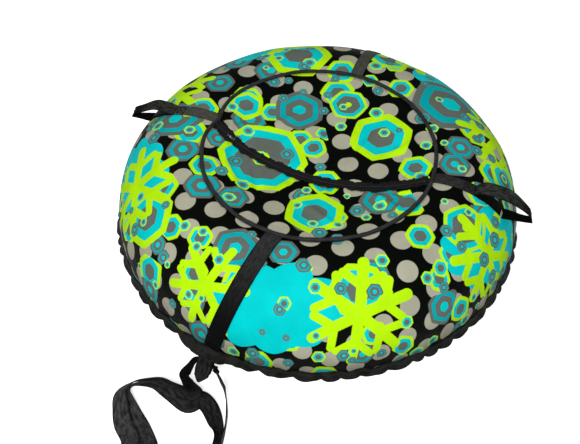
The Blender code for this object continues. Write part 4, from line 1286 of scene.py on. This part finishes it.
def make_pull():
    """The tab that hangs from the slider: a tapered plate, its barrel and two raised ribs."""
    thickness, pivot_height = 0.0014, 0.0052
    tab = bmesh.new()
    outline = [(-0.0056, 0.0018), (-0.0075, 0.0030), (-0.0205, 0.0030), (-0.0220, 0.0015)]
    outline += [(x, -y) for x, y in reversed(outline)]
    face = tab.faces.new([tab.verts.new((x, y, -thickness / 2)) for x, y in outline])
    grown = bmesh.ops.extrude_face_region(tab, geom=[face])["geom"]
    raised = [part for part in grown if isinstance(part, bmesh.types.BMVert)]
    bmesh.ops.translate(tab, verts=raised, vec=(0, 0, thickness))
    outwards(tab)
    soften(tab, tab.edges[:], 0.0004, 2)
    rib = (0.0090, 0.0008, 0.0003)
    for size, centre in (
            ((0.0062, 0.0036, 0.0013), (-0.0030, 0, 0)), ((0.0024, 0.0036, 0.0021), (0, 0, 0)),
            (rib, (-0.0140, 0.0013, 0.00075)), (rib, (-0.0140, -0.0013, 0.00075))):
        block = set(add_block(tab, size, centre))
        soften(tab, [line for line in tab.edges if line.verts[0] in block], min(size) * 0.3, 2)
    place_on_zip(tab, SLIDER_ANGLE, pivot_height)
    finish_piece("slider_pull", tab, METAL, "zip_pull", ["zipper_pull"], apart=35)


def make_stops():
    size, inset = (0.0040, 0.0036, 0.0034), 0.002
    for side, sign in (("left", -1), ("right", 1)):
        build = boxes([(size, (0, 0, 0))], 0.0006)
        place_on_zip(build, sign * (ZIP_END_ANGLE - math.degrees(inset / ZIP_RADIUS)))
        finish_piece(
            "zip_stop_" + side, build, TEETH, "cover", ["zipper_stop_" + side],
            apart=35)


# Inside the cover.

def make_inner_tube():
    tube_radius, upper_height, lower_height, sides = 0.1705, 0.1705, 0.1469, 32
    profile = []
    for i in range(sides):
        turn = math.tau * i / sides
        half_height = upper_height if i <= sides / 2 else lower_height
        profile.append((
            CROWN_RADIUS + tube_radius * math.cos(turn), SECTION_DROP + half_height * math.sin(turn)))
    build = spun(profile, 128, closed=True)
    outwards(build)
    finish_piece("air_tube", build, RUBBER, "cover", ["inner_tube"])


def dress_valve():
    """The valve's solids keep their meshes and only get their finishes."""
    for node, material in (
            ("valve_base", RUBBER), ("valve_stem", BRASS), ("valve_core", BRASS),
            ("valve_cap", CAP_PLASTIC)):
        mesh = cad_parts[node].data
        mesh.materials.clear()
        mesh.materials.append(material)


# Floor, light and camera.

def make_floor():
    """A grey floor that keeps the object's shadow and shows white to the camera."""
    size, gap, glow_strength = 14, 0.0006, 0.60
    m = Finish("white_floor")
    rays = m.node("ShaderNodeLightPath").socket.node.outputs
    camera, glossy, through = (
        Wire(m, rays["Is %s Ray" % kind]) for kind in ("Camera", "Glossy", "Transmission"))
    m.finish(FLOOR_GREY, 0.9)
    white = m.node("ShaderNodeBsdfDiffuse", None, {"Color": WHITE})
    glow = m.node("ShaderNodeEmission", None, {"Color": WHITE, "Strength": glow_strength})
    bright = m.node("ShaderNodeAddShader", None, (white, glow))
    seen = m.most(m.most(camera, glossy), through)
    mixed = m.node("ShaderNodeMixShader", None, (seen, Wire(m, m.shader.outputs[0]), bright))
    m.tree.links.new(mixed.socket, m.tree.nodes["Material Output"].inputs["Surface"])
    build = bmesh.new()
    bmesh.ops.create_grid(build, x_segments=4, y_segments=4, size=size)
    mesh = as_mesh("floor", build)
    mesh.transform(Matrix.Translation((0, 0, -gap)))
    mesh.materials.append(m.material)
    floor = show(bpy.data.objects.new("floor", mesh))


def make_light():
    """A world that lights softly and shows white to the camera, and two square lamps."""
    world_strength = 0.38
    world = bpy.data.worlds.new("studio")
    bpy.context.scene.world = world
    world.use_nodes = True
    tree = world.node_tree
    soft = tree.nodes["Background"]
    white = tree.nodes.new("ShaderNodeBackground")
    for background, strength in ((soft, world_strength), (white, 1.0)):
        background.inputs["Color"].default_value = (*WHITE, 1.0)
        background.inputs["Strength"].default_value = strength
    path = tree.nodes.new("ShaderNodeLightPath")
    mixed = tree.nodes.new("ShaderNodeMixShader")
    tree.links.new(path.outputs["Is Camera Ray"], mixed.inputs[0])
    tree.links.new(soft.outputs[0], mixed.inputs[1])
    tree.links.new(white.outputs[0], mixed.inputs[2])
    tree.links.new(mixed.outputs[0], tree.nodes["World Output"].inputs["Surface"])
    aim = Vector((0.0, 0.0, 0.1))
    for name, place, size, power in (
            ("key_light", (0.5, -2.3, 2.5), 0.8, 78.0), ("fill_light", (-1.6, 0.9, 2.8), 2.0, 12.0)):
        lamp = bpy.data.lights.new(name, "AREA")
        lamp.shape = "SQUARE"
        lamp.size = size
        lamp.energy = power
        light = show(bpy.data.objects.new(name, lamp))
        light.location = place
        light.rotation_mode = "QUATERNION"
        light.rotation_quaternion = (aim - Vector(place)).to_track_quat("-Z", "Y")


def make_camera():
    """The camera that took the photograph, fitted to the tube's outline and its seat."""
    target, distance = Vector((-0.0355, -0.0901, 0.150)), 2.375
    back = Vector((0.2327, -0.6030, 0.7631)).normalized()
    up = back.cross(Vector((0.9330, 0.3600, 0.0))).normalized()
    lens = bpy.data.cameras.new("view")
    lens.sensor_width = 36.0
    lens.lens = 62.13
    camera = show(bpy.data.objects.new("view", lens))
    facing = Matrix((up.cross(back), up, back)).transposed().to_4x4()
    camera.matrix_world = Matrix.Translation(target + back * distance) @ facing
    bpy.context.scene.camera = camera


bpy.context.scene.view_settings.view_transform = "Standard"
make_camera()
make_leash()
make_top_cover()
make_underside()
make_binding()
make_piping()
make_seat("seat_cloth_front", "seat_front_panel", 1, 184.0, 356.0)
make_seat("seat_cloth_rear", "seat_rear_panel", -1, 179.0, 1.0)
make_tapes()
make_teeth()
make_stops()
make_slider()
make_pull()
make_straps()
make_handles()
make_box_stitches()
make_tow_loop()
make_inner_tube()
dress_valve()
make_floor()
make_light()
